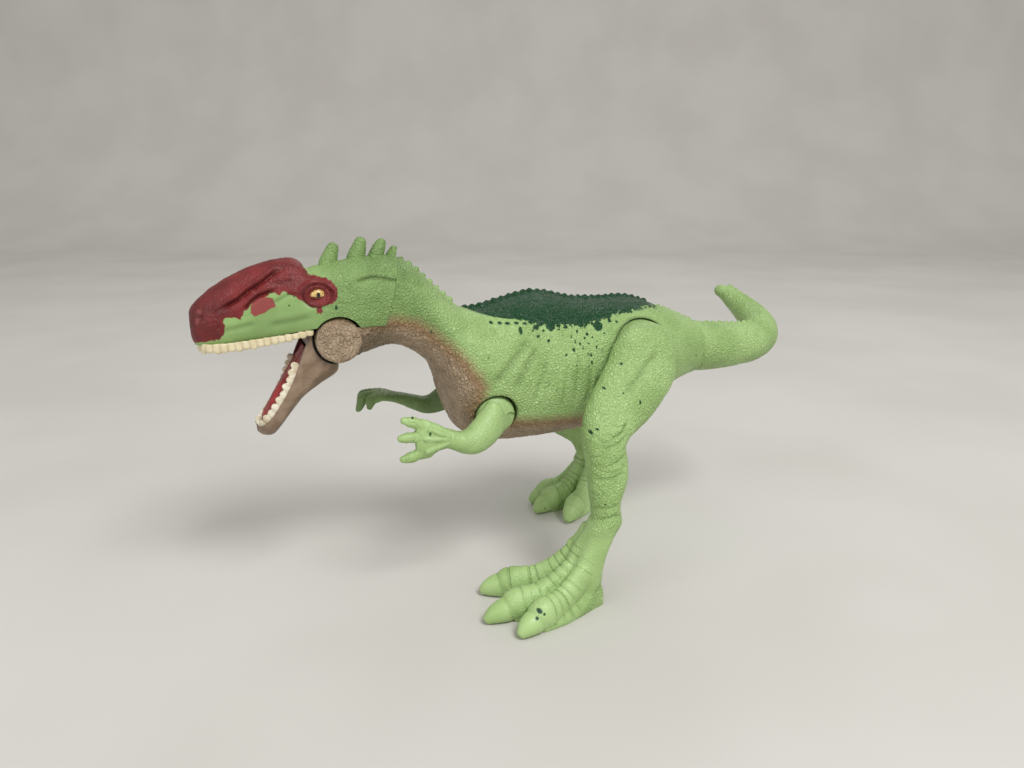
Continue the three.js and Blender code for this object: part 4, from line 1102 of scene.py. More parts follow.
def build_tail():
    rows = refined(tail_shares, 8)
    stops = [(tail_place(row), row[3] * tail_radius, row[4] * tail_radius) for row in rows]
    ridge = [tail_place(row) + UP * row[3] * tail_radius for row in rows[6:-6]]
    solids = [limb(stops, UP, 64), ball(stops[-1][0], tail_shares[-1][3] * tail_radius * 1.05)]
    solids += ridge_scales(ridge, 20, tail_scale_radius, tail_scale_height)
    piece = united("tail_skin", solids, tail_grid)
    raise_skin(piece, tail_heights)
    seam = tail_seam[0] + seam_gap
    combine(piece, [block(place(seam - overrun, -overrun, tail_seam[2] - overrun),
                          place(seam, overrun, tail_seam[2] + overrun))])
    combine(piece, tail_plug(0), "UNION")
    paint_marks(piece, specks=np.ones(len(piece.data.vertices)))
    finish_piece(piece, skin, "tail", ["tail"])


build_tail()


# Head

# Rings from neck to snout: ahead, top, low, half width, squareness
head_shares = [
    (-0.65, 0.93, -0.14, 0.855, 2.3), (-0.51, 0.985, -0.14, 0.88, 2.3), (-0.34, 0.985, -0.14, 0.93, 2.3),
    (-0.16, 0.965, -0.14, 0.995, 2.3), (0.014, 0.915, -0.14, 0.985, 2.3), (0.12, 0.885, -0.14, 0.93, 2.3),
    (0.175, 0.865, -0.14, 0.89, 2.3), (0.21, 0.94, -0.13, 0.85, 2.2), (0.277, 1, -0.12, 0.79, 2.2),
    (0.38, 0.992, -0.12, 0.72, 2.2), (0.53, 0.93, -0.12, 0.66, 2.2), (0.695, 0.82, -0.11, 0.63, 2.2),
    (0.835, 0.68, -0.1, 0.6, 2.2), (0.935, 0.55, -0.06, 0.53, 2.2), (0.982, 0.47, 0, 0.42, 2.2),
    (1.003, 0.38, 0.1, 0.24, 2.1),
]
# Edge of the upper lip from snout to hinge: ahead and up
lip_shares = [(1.2, 0.0), (0.97, 0.01), (0.785, 0.02), (0.55, 0.065), (0.355, 0.108), (0.13, 0.185)]
# Crown spikes: root ahead and up, tip ahead and up, thickness
spike_shares = [
    (0.02, 0.88, -0.045, 1.165, 0.47),
    (-0.185, 0.91, -0.25, 1.225, 0.5),
    (-0.335, 0.94, -0.41, 1.2, 0.42),
    (-0.465, 0.95, -0.505, 1.1, 0.36),
    (-0.565, 0.93, -0.585, 1.03, 0.26),
]
spike_height = 4.6
eye_radius = 1.7
eye_side_share = 0.62
eye_out = 1.45
eye_shares = (1.0, 0.62, 0.78)
brow_radius = 2.3
brow_shares = (1.12, 1, 0.92)
# The mound under each eye: how far it is wider than brow_radius, and how far out
brow_profile = [(1.3, 0), (0.9, 1.1), (0.5, 1.75), (0, 2.0), (0.4 - brow_radius, 2.05)]
lid_groove_radius = 2.42
# Rings round each eye: radius, width, rise all round, and the rise added above the eye
eye_rings = [(1.95, 0.35, 0.15, 0.35), (2.9, 0.3, 0, 0.3), (lid_groove_radius, 0.25, -0.28, 0)]
red_ring_radius = 2.6
red_ring_wave = (1.2, 0.4)
head_pebble = (1.1, 0.09)
head_swell = (2.4, 0.08)
crest_pebble = (1.25, 0.07)
crest_swell = (1.7, 0.08)
nostrils = [(-93.6, 66.4), (-90.3, 64.4)]
nostril_radius = 0.55
nostril_depth = 0.35
pit_radius = 1.3
pit_depth = 0.35
# Rim of the pit behind the eye: radius, width and rise
pit_rim = (2.0, 0.5, 0.16)
pebbled_along = (-70, -64)
smooth_along = (-73, -66)
snout_along = (-86, -91)
head_specks = [
    (-67.5, 67.6, 0.3, 0.5), (-76.6, 70.5, 0.26, 0.2), (-75.5, 70, 0.2, 0.2), (-76.6, 68.2, 0.2, 0.2),
]


def head_place(ahead, up):
    return place(jaw_hinge[0] - ahead * head_length, 0, jaw_hinge[2] + up * head_height)


eye_centre = head_place(0.13, 0.583)


def head_rings(rows, inset, sides):
    rings = []
    for ahead, top_up, low_up, width, power in rows:
        top = head_place(ahead, top_up) - UP * inset
        half = width * head_half_width - inset
        rings.append(section_ring(top, head_place(ahead, low_up), ACROSS, half, 0.56, power, sides))
    return rings


def under_lip(drop, height, half_width):
    edge = [head_place(*shares) - UP * drop for shares in lip_shares]
    lower = [place(p[0], 0, p[2] - height) for p in edge][::-1]
    return side_profile(edge + lower, half_width)


def crown_spike(root, tip, radius):
    line = [(0, 1.0), (0.3, 0.95), (0.6, 0.8), (0.85, 0.62), (0.97, 0.42), (1.0, 0.2)]
    flat_share = 0.86
    stops = []
    for t, share in refined(line, 3):
        stops.append((root + (tip - root) * t, radius * share, radius * share * flat_share))
    return limb(stops, ACROSS, 24)


crest_folds = [
    ([(-77.2, 75.5), (-79.3, 74.5), (-81, 73.3), (-82.5, 72.3), (-84.3, 71.3), (-86.5, 69.6), (-88.7, 68.5),
      (-90.6, 67.5)], 0.4, 0.8),
    ([(-79, 71.4), (-80.9, 70.8), (-82.3, 70.3), (-84, 69.1), (-84.9, 68.1), (-85.7, 67.2)], 0.4, 0.65),
    ([(-75, 73.2), (-77.4, 72.8), (-79.4, 72.6)], 0.5, 0.2),
    ([(-74.6, 70.1), (-76.4, 70.4), (-78, 69.6), (-80, 68.6)], 0.45, 0.22),
    ([(-83, 64.8), (-87, 64), (-91, 63.4)], 0.6, 0.2),
    ([(-72, 66), (-76, 65), (-81, 64.2)], 0.7, 0.22),
]
neck_groove = ([(-63.6, 72.4), (-61, 73), (-59.5, 73.3), (-57.4, 73), (-54.9, 72.4), (-53, 72.2)], 0.45, 0.55)
temple_pit = (-65.4, 70.8)


def eye_side(side):
    """Middle of an eye's mound on the side of the head."""
    return place(eye_centre[0], side * head_half_width * eye_side_share, eye_centre[2])


def eyeball(side, grow):
    """Oval eye, wider than high and flat across."""
    centre = place(eye_centre[0], side * (head_half_width * eye_side_share + eye_out), eye_centre[2])
    points, faces = ball(place(0, 0, 0), eye_radius * grow, 40)
    return centre + points * place(*eye_shares), faces


def eye_mound(side):
    at = eye_side(side)
    profile = [(brow_radius + wider, out) for wider, out in brow_profile]
    points, faces = lathed(profile, at, ACROSS * side, 48)
    return at + (points - at) * place(*brow_shares), faces


def around_eye(flat):
    """For each point: how far it is out from the eye, on ovals like the lids, and how much above it."""
    lid = np.hypot((flat[:, 0] - eye_centre[0] + 0.2) * 0.82, flat[:, 1] - eye_centre[2] + 0.2)
    above = blend_step(flat[:, 1] - eye_centre[2], -0.8, 1.2)
    return lid, above


def head_heights(points, normals):
    flat = side_view(points)
    red = blend_step(region(flat, red_outline), -0.3, 0.8)
    behind = blend_step(points[:, 0], *pebbled_along)
    rise = pebbled(points, head_pebble, 13) * behind + swelling(points, head_swell, 15)
    rise += red * swelling(points, crest_swell, 17)
    rise += red * pebbled(points, crest_pebble, 18)
    sides = blend_step(np.abs(normals[:, 1]), 0.2, 0.55)
    for line, width, depth in crest_folds:
        rise -= furrow(flat, line, width) * depth * sides
        beside = np.array(line) + np.array([0, width * 1.6])
        rise += furrow(flat, beside, width * 1.2) * depth * 0.6 * sides
    line, width, depth = neck_groove
    rise -= furrow(flat, line, width) * depth * sides
    to_pit = np.hypot(flat[:, 0] - temple_pit[0], flat[:, 1] - temple_pit[1])
    rise -= pit_depth * bell(to_pit, pit_radius) * sides
    radius, width, height = pit_rim
    rise += height * bell(to_pit - radius, width) * sides
    lid, above = around_eye(flat)
    for radius, width, all_round, on_top in eye_rings:
        rise += (all_round + on_top * above) * bell(lid - radius, width) * sides
    for along, up in nostrils:
        rise -= nostril_depth * bell(np.hypot(flat[:, 0] - along, flat[:, 1] - up), nostril_radius)
    return rise


def mouth_roof(inset, drop, sides):
    rings = []
    for ahead, _, _, width, _ in head_shares:
        if 0.25 < ahead < 0.95:
            lip = head_place(ahead, 0.1)
            top = lip + UP * (palate_height - inset)
            low = lip - UP * (palate_height + drop)
            half = width * head_half_width - lip_wall - inset
            rings.append(section_ring(top, low, ACROSS, half, 0.6, 3, sides))
    return loft(rings)


def neck_peg(radius, extra):
    middle = (seam_top + seam_low) / 2
    return rod(middle - seam_out * wall, middle + seam_out * (neck_peg_length + extra), radius)


def head_body():
    """Skull with its lip cut along the snout only, so that the cheek behind stays whole."""
    spikes = []
    for root_ahead, root_up, tip_ahead, tip_up, thick in spike_shares:
        root, tip = head_place(root_ahead, root_up), head_place(tip_ahead, tip_up)
        spikes.append(crown_spike(root, tip, thick * spike_height))
    mounds = [eye_mound(side) for side in (-1, 1)]
    hull = loft(head_rings(refined(head_shares, 6), 0, 80))
    piece = united("head_skin", [hull] + spikes + mounds, head_grid, 3)
    raise_skin(piece, head_heights)
    far, top = seam_top[0] + 2 * overrun, 2 * hip_height
    corners = ((far, 0), (far, top), (jaw_hinge[0], top), (jaw_hinge[0], 0))
    behind = side_profile([place(x, 0, z) for x, z in corners], 2 * overrun)
    rear = copy_of(piece)
    combine(rear, [behind, head_zone(seam_gap)], "INTERSECT")
    combine(piece, [behind, under_lip(0, 2 * overrun, 2 * overrun)])
    combine_object(piece, rear, "UNION")
    half_room = jaw_half_width - 2 * seat_gap
    combine(piece, [
        mouth_roof(0, 0, 40),
        cross_rod(jaw_hinge, -half_room, half_room, jaw_room_radius),
        cross_rod(jaw_hinge, -overrun, overrun, lobe_radius + turn_gap, 96),
        neck_peg(neck_peg_radius + seat_gap, seat_gap),
        eyeball(-1, 1.04),
        eyeball(1, 1.04),
    ])
    return piece


def head_creases(points):
    flat = side_view(points)
    crease = np.zeros(len(points))
    # Painted shade along the crest's folds and the neck's groove
    for line, width, depth in crest_folds + [neck_groove]:
        crease = np.maximum(crease, furrow(flat, line, width * 0.7) * min(1, 1.7 * depth))
    lid, above = around_eye(flat)
    # Painted shade in the groove round the eye, deeper above it
    crease = np.maximum(crease, bell(lid - lid_groove_radius, 0.3) * (0.35 + 0.5 * above))
    # The front of the crest, on the snout, is painted darker
    front = blend_step(points[:, 0], *snout_along) * blend_step(region(flat, red_outline), 0, 1)
    return np.maximum(crease, 0.45 * front)


def build_head():
    piece = head_body()
    points, _ = points_of(piece)
    flat = side_view(points)
    crest = region(flat, red_outline)
    worn_patch = region(flat, worn_outline)
    to_eye = np.hypot(flat[:, 0] - eye_centre[0], flat[:, 1] - eye_centre[2])
    eye_ring = red_ring_radius + swelling(points, red_ring_wave, 31) - to_eye
    worn = np.maximum(spot_distance(flat, worn_spots), worn_patch * 1.2)
    red = np.maximum(np.maximum(crest, eye_ring), worn_patch)
    smooth = 1 - blend_step(points[:, 0], *smooth_along) * 0.85
    smooth -= 0.45 * blend_step(crest, 0, 1.5) * smooth
    paint_marks(piece, red=red, worn=worn, crease=head_creases(points), smooth=smooth,
                spots=spot_distance(flat, head_specks))
    finish_piece(piece, head_skin, "torso", ["head_shell"])


build_head()


# Eyes, palate and upper teeth

upper_tooth_height = 1.2
lower_tooth_height = 2.3
upper_tooth_depth = 0.8
lower_tooth_depth = 1.0
upper_tooth_count = 36
lower_tooth_count = 25
tooth_grid = 0.16
tooth_sunk = 0.25
tooth_gap_line = 0.2
gum_wall = 0.35
# Heights of the teeth along each row, from the left rear round the front to the right rear
upper_tall_shares = (0.55, 0.8, 0.95, 1.0, 1.0, 1.0, 0.95, 0.8, 0.55)
lower_tall_shares = (0.75, 0.7, 0.66, 0.62, 0.6, 0.25, 0.15, 0.45, 0.7)
# Foot of the upper teeth on one side: ahead, across, up
upper_tooth_shares = [
    (0.18, 0.815, 0.17),
    (0.3, 0.75, 0.13),
    (0.5, 0.665, 0.085),
    (0.7, 0.6, 0.045),
    (0.85, 0.52, 0.03),
    (0.93, 0.36, 0.03),
    (0.955, 0, 0.03),
]


def eye_paint():
    """Gold iris with a dark pupil above a dark red lower part."""
    gold_grain, rim_grain = 0.3, 0.4
    iris_edge, lower_edge, pupil_edge = (1.5, 1.62), (-0.25, -0.4), (0.42, 0.3)
    paint = Paint("eye_gloss", 0.2)
    gold = paint.blotched(gold_grain, 3, (0.4, 0.62), colour(228, 202, 134), colour(172, 128, 64))
    rim = paint.blotched(rim_grain, 2, (0.35, 0.7), colour(118, 46, 36), colour(74, 26, 22))
    tone = paint.mix(paint.range(paint.mask("iris"), *iris_edge), gold, rim)
    tone = paint.mix(paint.range(paint.mask("upper"), *lower_edge), tone, rim)
    tone = paint.mix(paint.range(paint.mask("slit"), *pupil_edge), tone, colour(18, 13, 10))
    return paint.done(tone)


def build_eyes():
    material = eye_paint()
    for name, side in (("left", -1), ("right", 1)):
        piece = united(name + "_eye", [eyeball(side, 1)], jaw_grid, 2)
        points, _ = points_of(piece)
        along, up = points[:, 0] - eye_centre[0], points[:, 2] - eye_centre[2]
        mark(piece, "iris", np.hypot(along, up))
        mark(piece, "slit", np.hypot(along, up * 0.62))
        mark(piece, "upper", up)
        finish_piece(piece, material, "torso")


def tooth(at, ahead, out, width, height, depth, seed):
    """Blunt peg with a rounded tip, rooted at a place and growing along out."""
    side = unit(np.cross(ahead, out))
    tip = at + out * height + ahead * width * (0.08 * math.sin(seed * 2.3)) + side * 0.05 * width
    line = [(-0.35, 1.0), (0, 1.02), (0.5, 1.0), (0.72, 0.9), (0.88, 0.7), (0.97, 0.46), (1.0, 0.25)]
    stops = [(at + (tip - at) * share, width * size / 2, depth * size / 2) for share, size in line]
    return limb(stops, ahead, 16, 3.0)


def both_sides(rows, place_of):
    near = [place_of(row, -1) for row in rows]
    far = [place_of(row, 1) for row in rows[:-1]][::-1]
    return near + far


def tooth_row(line, count, out, height, depth, tall_shares, gap_share):
    walked = walk(line)
    width = walked[-1] / count * gap_share
    look_ahead = 0.3
    teeth = []
    for i in range(count):
        share = (i + 0.5) / count
        at, ahead = (at_line(line, walked, share * walked[-1] + step) for step in (0, look_ahead))
        tall = height * np.interp(share, np.linspace(0, 1, len(tall_shares)), tall_shares)
        tall *= 1 + 0.09 * math.sin(i * 2.6)
        teeth.append(tooth(at, unit(ahead - at), out, width, tall, depth, i))
    return teeth


def gaps_between(line, count):
    """Place and direction of the row at each gap between two teeth, and at both its ends."""
    walked = walk(line)
    gaps = []
    for i in range(count + 1):
        at, ahead = (at_line(line, walked, i / count * walked[-1] + step) for step in (-0.1, 0.2))
        gaps.append(((at + ahead) / 2, unit(ahead - at)))
    return gaps


def build_teeth(name, rows, root, count, out, height, depth, tall_shares, gap_share, material, body):
    """Row of teeth from the left rear round the front to the right rear, with painted shade in its gaps."""
    line = np.array(refined(both_sides(rows, root), 10))
    teeth = tooth_row(line, count, out, height, depth, tall_shares, gap_share)
    piece = united(name, teeth, tooth_grid, 1)
    points, _ = points_of(piece)
    far = np.min([np.abs((points - at) @ ahead) + 9 * (np.linalg.norm(points - at, axis=1) > 3)
                  for at, ahead in gaps_between(line, count)], axis=0)
    mark(piece, "crease", bell(far, tooth_gap_line) * 0.7)
    finish_piece(piece, material, body)


def upper_root(row, side):
    lip = head_place(row[0], row[2])
    return place(lip[0], side * row[1] * head_half_width, lip[2] - seat_gap - gum_height * 0.4)


def palate_vault():
    """Room between the two sides of the gum."""
    middle = 0.08
    rings = []
    for ahead, half in ((0.2, 0.43), (0.28, 0.42), (0.5, 0.38), (0.7, 0.35), (0.86, 0.26)):
        top = head_place(ahead, middle) + UP * palate_height / 2
        low = head_place(ahead, middle) - UP * palate_height
        rings.append(section_ring(top, low, ACROSS, head_half_width * half, 0.6, 2.4, 24))
    return loft(rings)


def build_palate():
    build_teeth("upper_teeth", upper_tooth_shares, upper_root, upper_tooth_count, -UP,
                upper_tooth_height + gum_height * 0.6, upper_tooth_depth, upper_tall_shares, 1.12,
                upper_cream, "torso")
    front_rows = [row for row in refined(head_shares, 4) if row[0] > 0.45]
    gum = object_of("upper_gum", [loft(head_rings(front_rows, seat_gap + gum_wall, 64))])
    combine(gum, [under_lip(seat_gap * 0.3, gum_height + seat_gap, 2 * overrun)], "INTERSECT")
    vault = palate_vault()
    combine(gum, [vault])
    mark(gum, "crease", np.zeros(len(gum.data.vertices)))
    finish_piece(gum, upper_cream, "torso")
    roof = object_of("mouth_roof", [mouth_roof(seat_gap, 0, 48)])
    combine(roof, [under_lip(gum_height * 0.8, 2 * overrun, 2 * overrun), vault])
    finish_piece(roof, mouth_red, "torso", ["palate_insert"])


build_eyes()
build_palate()


# Lower jaw, its teeth and the tongue

jaw_opening = math.radians(47)
jaw_ahead = place(-math.cos(jaw_opening), 0, -math.sin(jaw_opening))
jaw_up = place(-math.sin(jaw_opening), 0, math.cos(jaw_opening))
# Rings from hinge to chin: rim ahead and up, underside ahead and up, half width
jaw_shares = [
    (-0.02, 0.62, 0.03, -0.52, 0.8),
    (0.084, 0.67, 0.13, -0.62, 0.88),
    (0.177, 0.55, 0.24, -0.66, 0.91),
    (0.313, 0.4, 0.36, -0.53, 0.94),
    (0.42, 0.26, 0.47, -0.44, 0.97),
    (0.55, 0.15, 0.59, -0.365, 0.98),
    (0.7, 0.06, 0.73, -0.39, 0.96),
    (0.82, 0.0, 0.85, -0.43, 0.92),
    (0.925, -0.01, 0.955, -0.42, 0.8),
    (0.99, 0, 1.015, -0.24, 0.54),
]
# Foot of the lower teeth on one side: ahead, up, across
lower_tooth_shares = [
    (0.36, 0.33, 0.68),
    (0.44, 0.24, 0.71),
    (0.52, 0.165, 0.78),
    (0.62, 0.09, 0.84),
    (0.75, 0.03, 0.83),
    (0.87, -0.01, 0.74),
    (0.945, -0.02, 0.5),
    (0.965, -0.02, 0),
]
# Tongue: ahead and thickness
tongue_shares = [(0.45, 0.04), (0.52, 0.07), (0.62, 0.08), (0.74, 0.07), (0.82, 0.03)]
jaw_pin_bore = 1.2
jaw_leather = (1.4, 0.13)
jaw_swell = (2.2, 0.1)
tongue_swell = (0.9, 0.08)
tongue_groove_width = 0.35
tongue_groove_depth = 0.3


def jaw_place(ahead, up):
    return jaw_hinge + jaw_ahead * ahead * jaw_length + jaw_up * up * jaw_depth


def jaw_rings(rows, inset, lift, sides):
    rings = []
    for rim_ahead, rim_up, under_ahead, under_up, width in rows:
        rim = jaw_place(rim_ahead, rim_up) + jaw_up * lift
        under = jaw_place(under_ahead, under_up) + jaw_up * inset
        rings.append(section_ring(rim, under, ACROSS, width * jaw_half_width - inset, 0.55, 2.6, sides))
    return rings


def above_jaw_rim():
    rim = [jaw_place(row[0], row[1]) for row in refined(jaw_shares, 4)]
    line = [jaw_place(-1, jaw_shares[0][1])] + rim + [jaw_place(2, jaw_shares[-1][1])]
    raised = [p + jaw_up * overrun for p in line][::-1]
    return side_profile(line + raised, 2 * overrun)


def jaw_heights(points, normals):
    with_jaw = np.array([[0.68, 0, 0.73], [0, 1, 0], [-0.73, 0, 0.68]])
    size, height = jaw_leather
    leather = 1 - np.abs(noise(points @ with_jaw * place(1, 1, 0.5), size, 41))
    return height * (leather - 0.6) + swelling(points, jaw_swell, 43)


def jaw_paint():
    """Beige leathery skin of the jaw, red along the inside."""
    tone_blotch, inner_blotch, grain, pebble, relief, gap_fade = 2.6, 2.0, 0.9, 0.7, 0.16, 0.25
    paint = Paint("jaw_skin", 0.42)
    tone = paint.blotched(tone_blotch, 3, (0.35, 0.7), colour(140, 119, 98), colour(118, 96, 76))
    red = paint.blotched(inner_blotch, 2, (0.35, 0.7), colour(126, 42, 38), colour(88, 26, 24))
    # Painted shade deep in the rear of the mouth
    red = paint.mix(paint.mask("deep"), red, colour(58, 20, 17))
    tone = paint.mix(paint.range(paint.mask("inside"), -0.1, 0.15), tone, red)
    # Painted shade in the gap round the lobes
    tone = paint.mix(paint.range(paint.mask("gap"), gap_fade, 0.0), tone, colour(24, 18, 14))
    height = paint.plus(paint.noise(grain, 3), paint.times(paint.cells(pebble), 0.4))
    return paint.done(tone, None, paint.bump(height, relief, 0.7))


def jaw_body(rows):
    """Shell of the jaw with its rim, the room for the tongue, and the hinge barrel between the lobes."""
    piece = united("jaw_skin", [loft(jaw_rings(rows, 0, wall, 72))], jaw_grid, 3)
    raise_skin(piece, jaw_heights)
    cuts = [above_jaw_rim()]
    room = lobe_radius + 0.85 * turn_gap
    cuts += [cross_rod(jaw_hinge, side * barrel_half_length, side * overrun, room, 96) for side in (-1, 1)]
    cuts.append(block(jaw_hinge - place(0, overrun, overrun), jaw_hinge + place(overrun, overrun, overrun)))
    cuts.append(loft(jaw_rings(refined(jaw_shares[2:9], 4), lip_wall, 2 * wall, 48)))
    combine(piece, cuts)
    combine(piece, [cross_rod(jaw_hinge, -barrel_half_length, barrel_half_length, barrel_radius)], "UNION")
    combine(piece, [cross_rod(jaw_hinge, -overrun, overrun, jaw_pin_bore)])
    return piece


def paint_jaw(piece, rows):
    """Marks the red inside, the painted shade deep in its rear and the painted shade in the gap round the
    lobes.
    """
    points, normals = points_of(piece)
    relative = points - jaw_hinge
    along = relative @ jaw_ahead / jaw_length
    lift = relative @ jaw_up
    under_lift = np.interp(along, [row[2] for row in rows], [row[3] for row in rows]) * jaw_depth
    half = np.interp(along, [row[0] for row in rows], [row[4] for row in rows]) * jaw_half_width
    facing = np.maximum(-np.sign(points[:, 1]) * normals[:, 1], normals @ jaw_up)
    skirt = np.interp(along, (0.2, 0.4), (1.1, 0.8))
    inner = (facing > 0.35) & (np.abs(points[:, 1]) < half - skirt)
    inner &= (lift > under_lift + 0.6 * wall) & (along > 0.1)
    mark(piece, "inside", np.where(inner, 1.0, -1.0))
    mark(piece, "deep", blend_step(along, 0.4, 0.22))
    mark(piece, "gap", np.hypot(relative[:, 0], relative[:, 2]) - lobe_radius - turn_gap)


def lower_root(row, side):
    at = jaw_place(row[0], row[1])
    return place(at[0], side * row[2] * jaw_half_width, at[2]) - jaw_up * tooth_sunk


def build_jaw():
    rows = refined(jaw_shares, 6)
    piece = jaw_body(rows)
    paint_jaw(piece, rows)
    finish_piece(piece, jaw_paint(), "jaw", ["lower_jaw"])
    build_teeth("lower_teeth", lower_tooth_shares, lower_root, lower_tooth_count, jaw_up,
                lower_tooth_height + tooth_sunk, lower_tooth_depth, lower_tall_shares, 1.0,
                lower_cream, "jaw")


def tongue_heights(points, normals):
    groove = bell(points[:, 1], tongue_groove_width) * blend_step((points - jaw_hinge) @ jaw_up, -0.3, 0.4)
    return swelling(points, tongue_swell, 51) - tongue_groove_depth * groove


def build_tongue():
    rows = [np.array(row) for row in jaw_shares[2:9]]
    rows[0] = rows[0] + (rows[1] - rows[0]) * 0.2
    rows[-1] = rows[-1] + (rows[-2] - rows[-1]) * 0.2
    floor = object_of("tongue", [loft(jaw_rings(refined(rows, 4), lip_wall + seat_gap, 2 * wall, 48))])
    near, far, rise = jaw_place(0.05, 0.5), jaw_place(1.05, -0.08), jaw_up * overrun
    combine(floor, [side_profile([near, far, far + rise, near + rise], 2 * overrun)])
    stops = [(jaw_place(ahead, 0.42 - 0.42 * ahead), thick * jaw_depth, thick * jaw_depth * 1.8)
             for ahead, thick in refined(tongue_shares, 5)]
    combine(floor, [limb(stops, jaw_up, 32)], "UNION")
    add_grid(floor, jaw_grid)
    apply_modifiers(floor)
    raise_skin(floor, tongue_heights)
    finish_piece(floor, tongue_red, "jaw", ["tongue_insert"])


build_jaw()
build_tongue()


# Arms

# Stops along each arm: ahead, out, up, half size up and across
left_arm_shares = [
    (0, 0.04, 0.02, 0.93, 0.5),
    (0.077, 0.1, -0.045, 0.9, 0.62),
    (0.168, 0.155, -0.105, 0.82, 0.66),
    (0.282, 0.2, -0.165, 0.72, 0.66),
    (0.377, 0.21, -0.175, 0.6, 0.6),
    (0.462, 0.21, -0.155, 0.5, 0.53),
    (0.542, 0.215, -0.12, 0.48, 0.47),
    (0.607, 0.22, -0.108, 0.58, 0.43),
    (0.682, 0.22, -0.1, 0.78, 0.4),
    (0.752, 0.225, -0.1, 0.98, 0.36),
    (0.817, 0.225, -0.095, 1.04, 0.3),
    (0.862, 0.225, -0.095, 0.9, 0.24),
]
right_arm_shares = [
    (0, 0.04, 0.02, 0.93, 0.5),
    (0.088, 0.105, -0.04, 0.82, 0.6),
    (0.202, 0.17, -0.105, 0.7, 0.62),
    (0.311, 0.21, -0.165, 0.58, 0.58),
    (0.412, 0.22, -0.175, 0.5, 0.52),
    (0.532, 0.23, -0.135, 0.42, 0.46),
    (0.662, 0.24, -0.085, 0.34, 0.42),
    (0.772, 0.24, -0.05, 0.3, 0.55),
    (0.882, 0.24, -0.02, 0.32, 0.84),
    (0.972, 0.24, -0.025, 0.28, 0.86),
]
# Root, knuckle and tip of each finger: ahead, out, up
left_finger_shares = [
    ((0.762, 0.225, 0.02), (0.872, 0.23, 0.075), (0.967, 0.235, 0.105)),
    ((0.802, 0.225, -0.08), (0.915, 0.235, -0.06), (1.003, 0.24, -0.06)),
    ((0.782, 0.225, -0.21), (0.892, 0.23, -0.25), (0.987, 0.235, -0.262)),
]
right_finger_shares = [
    ((0.902, 0.34, -0.02), (1.042, 0.37, -0.035), (1.092, 0.375, -0.15)),
    ((0.922, 0.24, -0.02), (1.072, 0.24, -0.03), (1.127, 0.24, -0.16)),
    ((0.902, 0.14, -0.02), (1.012, 0.12, -0.035), (1.032, 0.12, -0.11)),
]
finger_radius = 1.25
arm_pebble = (0.9, 0.04)
arm_swell = (1.3, 0.05)
hand_line = (1.5, 0.14)
# The shallow round facet on the front of each shoulder disc
facet_radius = 1.9
facet_depth = 0.6
facet_sunk = 0.35
arm_blots = {"left": [(-50.8, 41.1, 0.26, 0.5), (-54.3, 44.8, 0.3, 0.2)], "right": [(-60, 42, 0.3, 0.3)]}
# Painted shade over each whole arm, deeper on the right arm, which lies in the body's shadow; the right arm
# also takes the darker greens of the head as painted shadow
arm_painted_shade = {"left": 0.36, "right": 0.6}
arm_painted_shadow = {"left": 0.0, "right": 1.0}


def arm_place(row, side):
    out = side * ((arm_seat + arm_disc_out) / 2 + row[1] * arm_reach)
    return place(shoulder[0] - row[0] * arm_reach, out, shoulder[2] + row[2] * arm_reach)


# Dome of a limb's disc: radius and rise
disc_dome_shares = [(0.985, 0.4), (0.94, 1), (0.86, 1.6), (0.74, 2.1)]


def limb_disc(at, side, radius, inner, flush, outer):
    """Disc of a limb with a domed outer face."""
    dome = (outer - flush) / 3
    line = [(radius, inner), (radius, flush)]
    line += [(radius * share, flush + dome * rise) for share, rise in disc_dome_shares]
    line += [(radius * 0.4, outer), (radius * 0.1, outer)]
    return lathed(line, at, ACROSS * side, 96)


def add_peg(piece, joint, side, seat, radius):
    """Joins the peg that a limb turns on."""
    combine(piece, [cross_rod(joint, side * (seat - wall), side * (seat + wall), radius)], "UNION")


def finger(places, side):
    root, knuckle, tip = (arm_place(row, side) for row in places)
    line = refined([root, knuckle, knuckle + (tip - knuckle) * 0.5, tip], 5)
    thick = refined([[0.92], [1.0], [0.92], [0.66]], 5)
    stops = [(at, size[0] * finger_radius, size[0] * finger_radius) for at, size in zip(line, thick)]
    return [limb(stops, ACROSS, 24), ball(tip, 0.66 * finger_radius, 20)]


def palm_ridge(root, side):
    """Tendon on the outside of the hand, from the wrist to a finger."""
    wrist = arm_place((0.56, root[1] + 0.066, -0.11 + 0.25 * (root[2] + 0.1)), side)
    knuckle = arm_place((root[0], root[1] + 0.05, root[2]), side)
    line = refined([wrist, (wrist + knuckle) / 2, knuckle], 4)
    thick = [0.35 * finger_radius, 0.5 * finger_radius, 0.56 * finger_radius]
    sizes = np.interp(np.linspace(0, 2, len(line)), (0, 1, 2), thick)
    return limb([(at, size, size) for at, size in zip(line, sizes)], ACROSS, 20)


def arm_body(name, side, rows, fingers):
    """Arm from the shoulder disc to the finger tips, with its peg."""
    stops = [(arm_place(row, side), row[3] * arm_thickness, row[4] * arm_thickness)
             for row in refined(rows, 5)]
    solids = [limb(stops, UP, 48, 2.2),
              limb_disc(shoulder, side, arm_disc_radius, arm_seat + seat_gap, arm_disc_flush, arm_disc_out)]
    for places in fingers:
        solids += finger(places, side)
        if side < 0:
            solids.append(palm_ridge(places[0], side))
    piece = united(name + "_arm_skin", solids, arm_grid, 4)
    hand = shoulder[0] - arm_reach * 0.5

    def heights(points, normals):
        arm_part = blend_step(points[:, 0], hand - 1, hand + 2)
        out = blend_step(np.abs(points[:, 1]), arm_disc_flush - 1.2, arm_disc_flush)
        rise = pebbled(points, arm_pebble, 61) * arm_part + swelling(points, arm_swell, 63)
        size, depth = hand_line
        lines = noise(points * place(2.2, 0.5, 0.7), size, 65)
        return rise * out - depth * bell(lines, 0.12) * (1 - arm_part) * out

    raise_skin(piece, heights)
    add_peg(piece, shoulder, side, arm_seat, arm_peg_radius)
    return piece


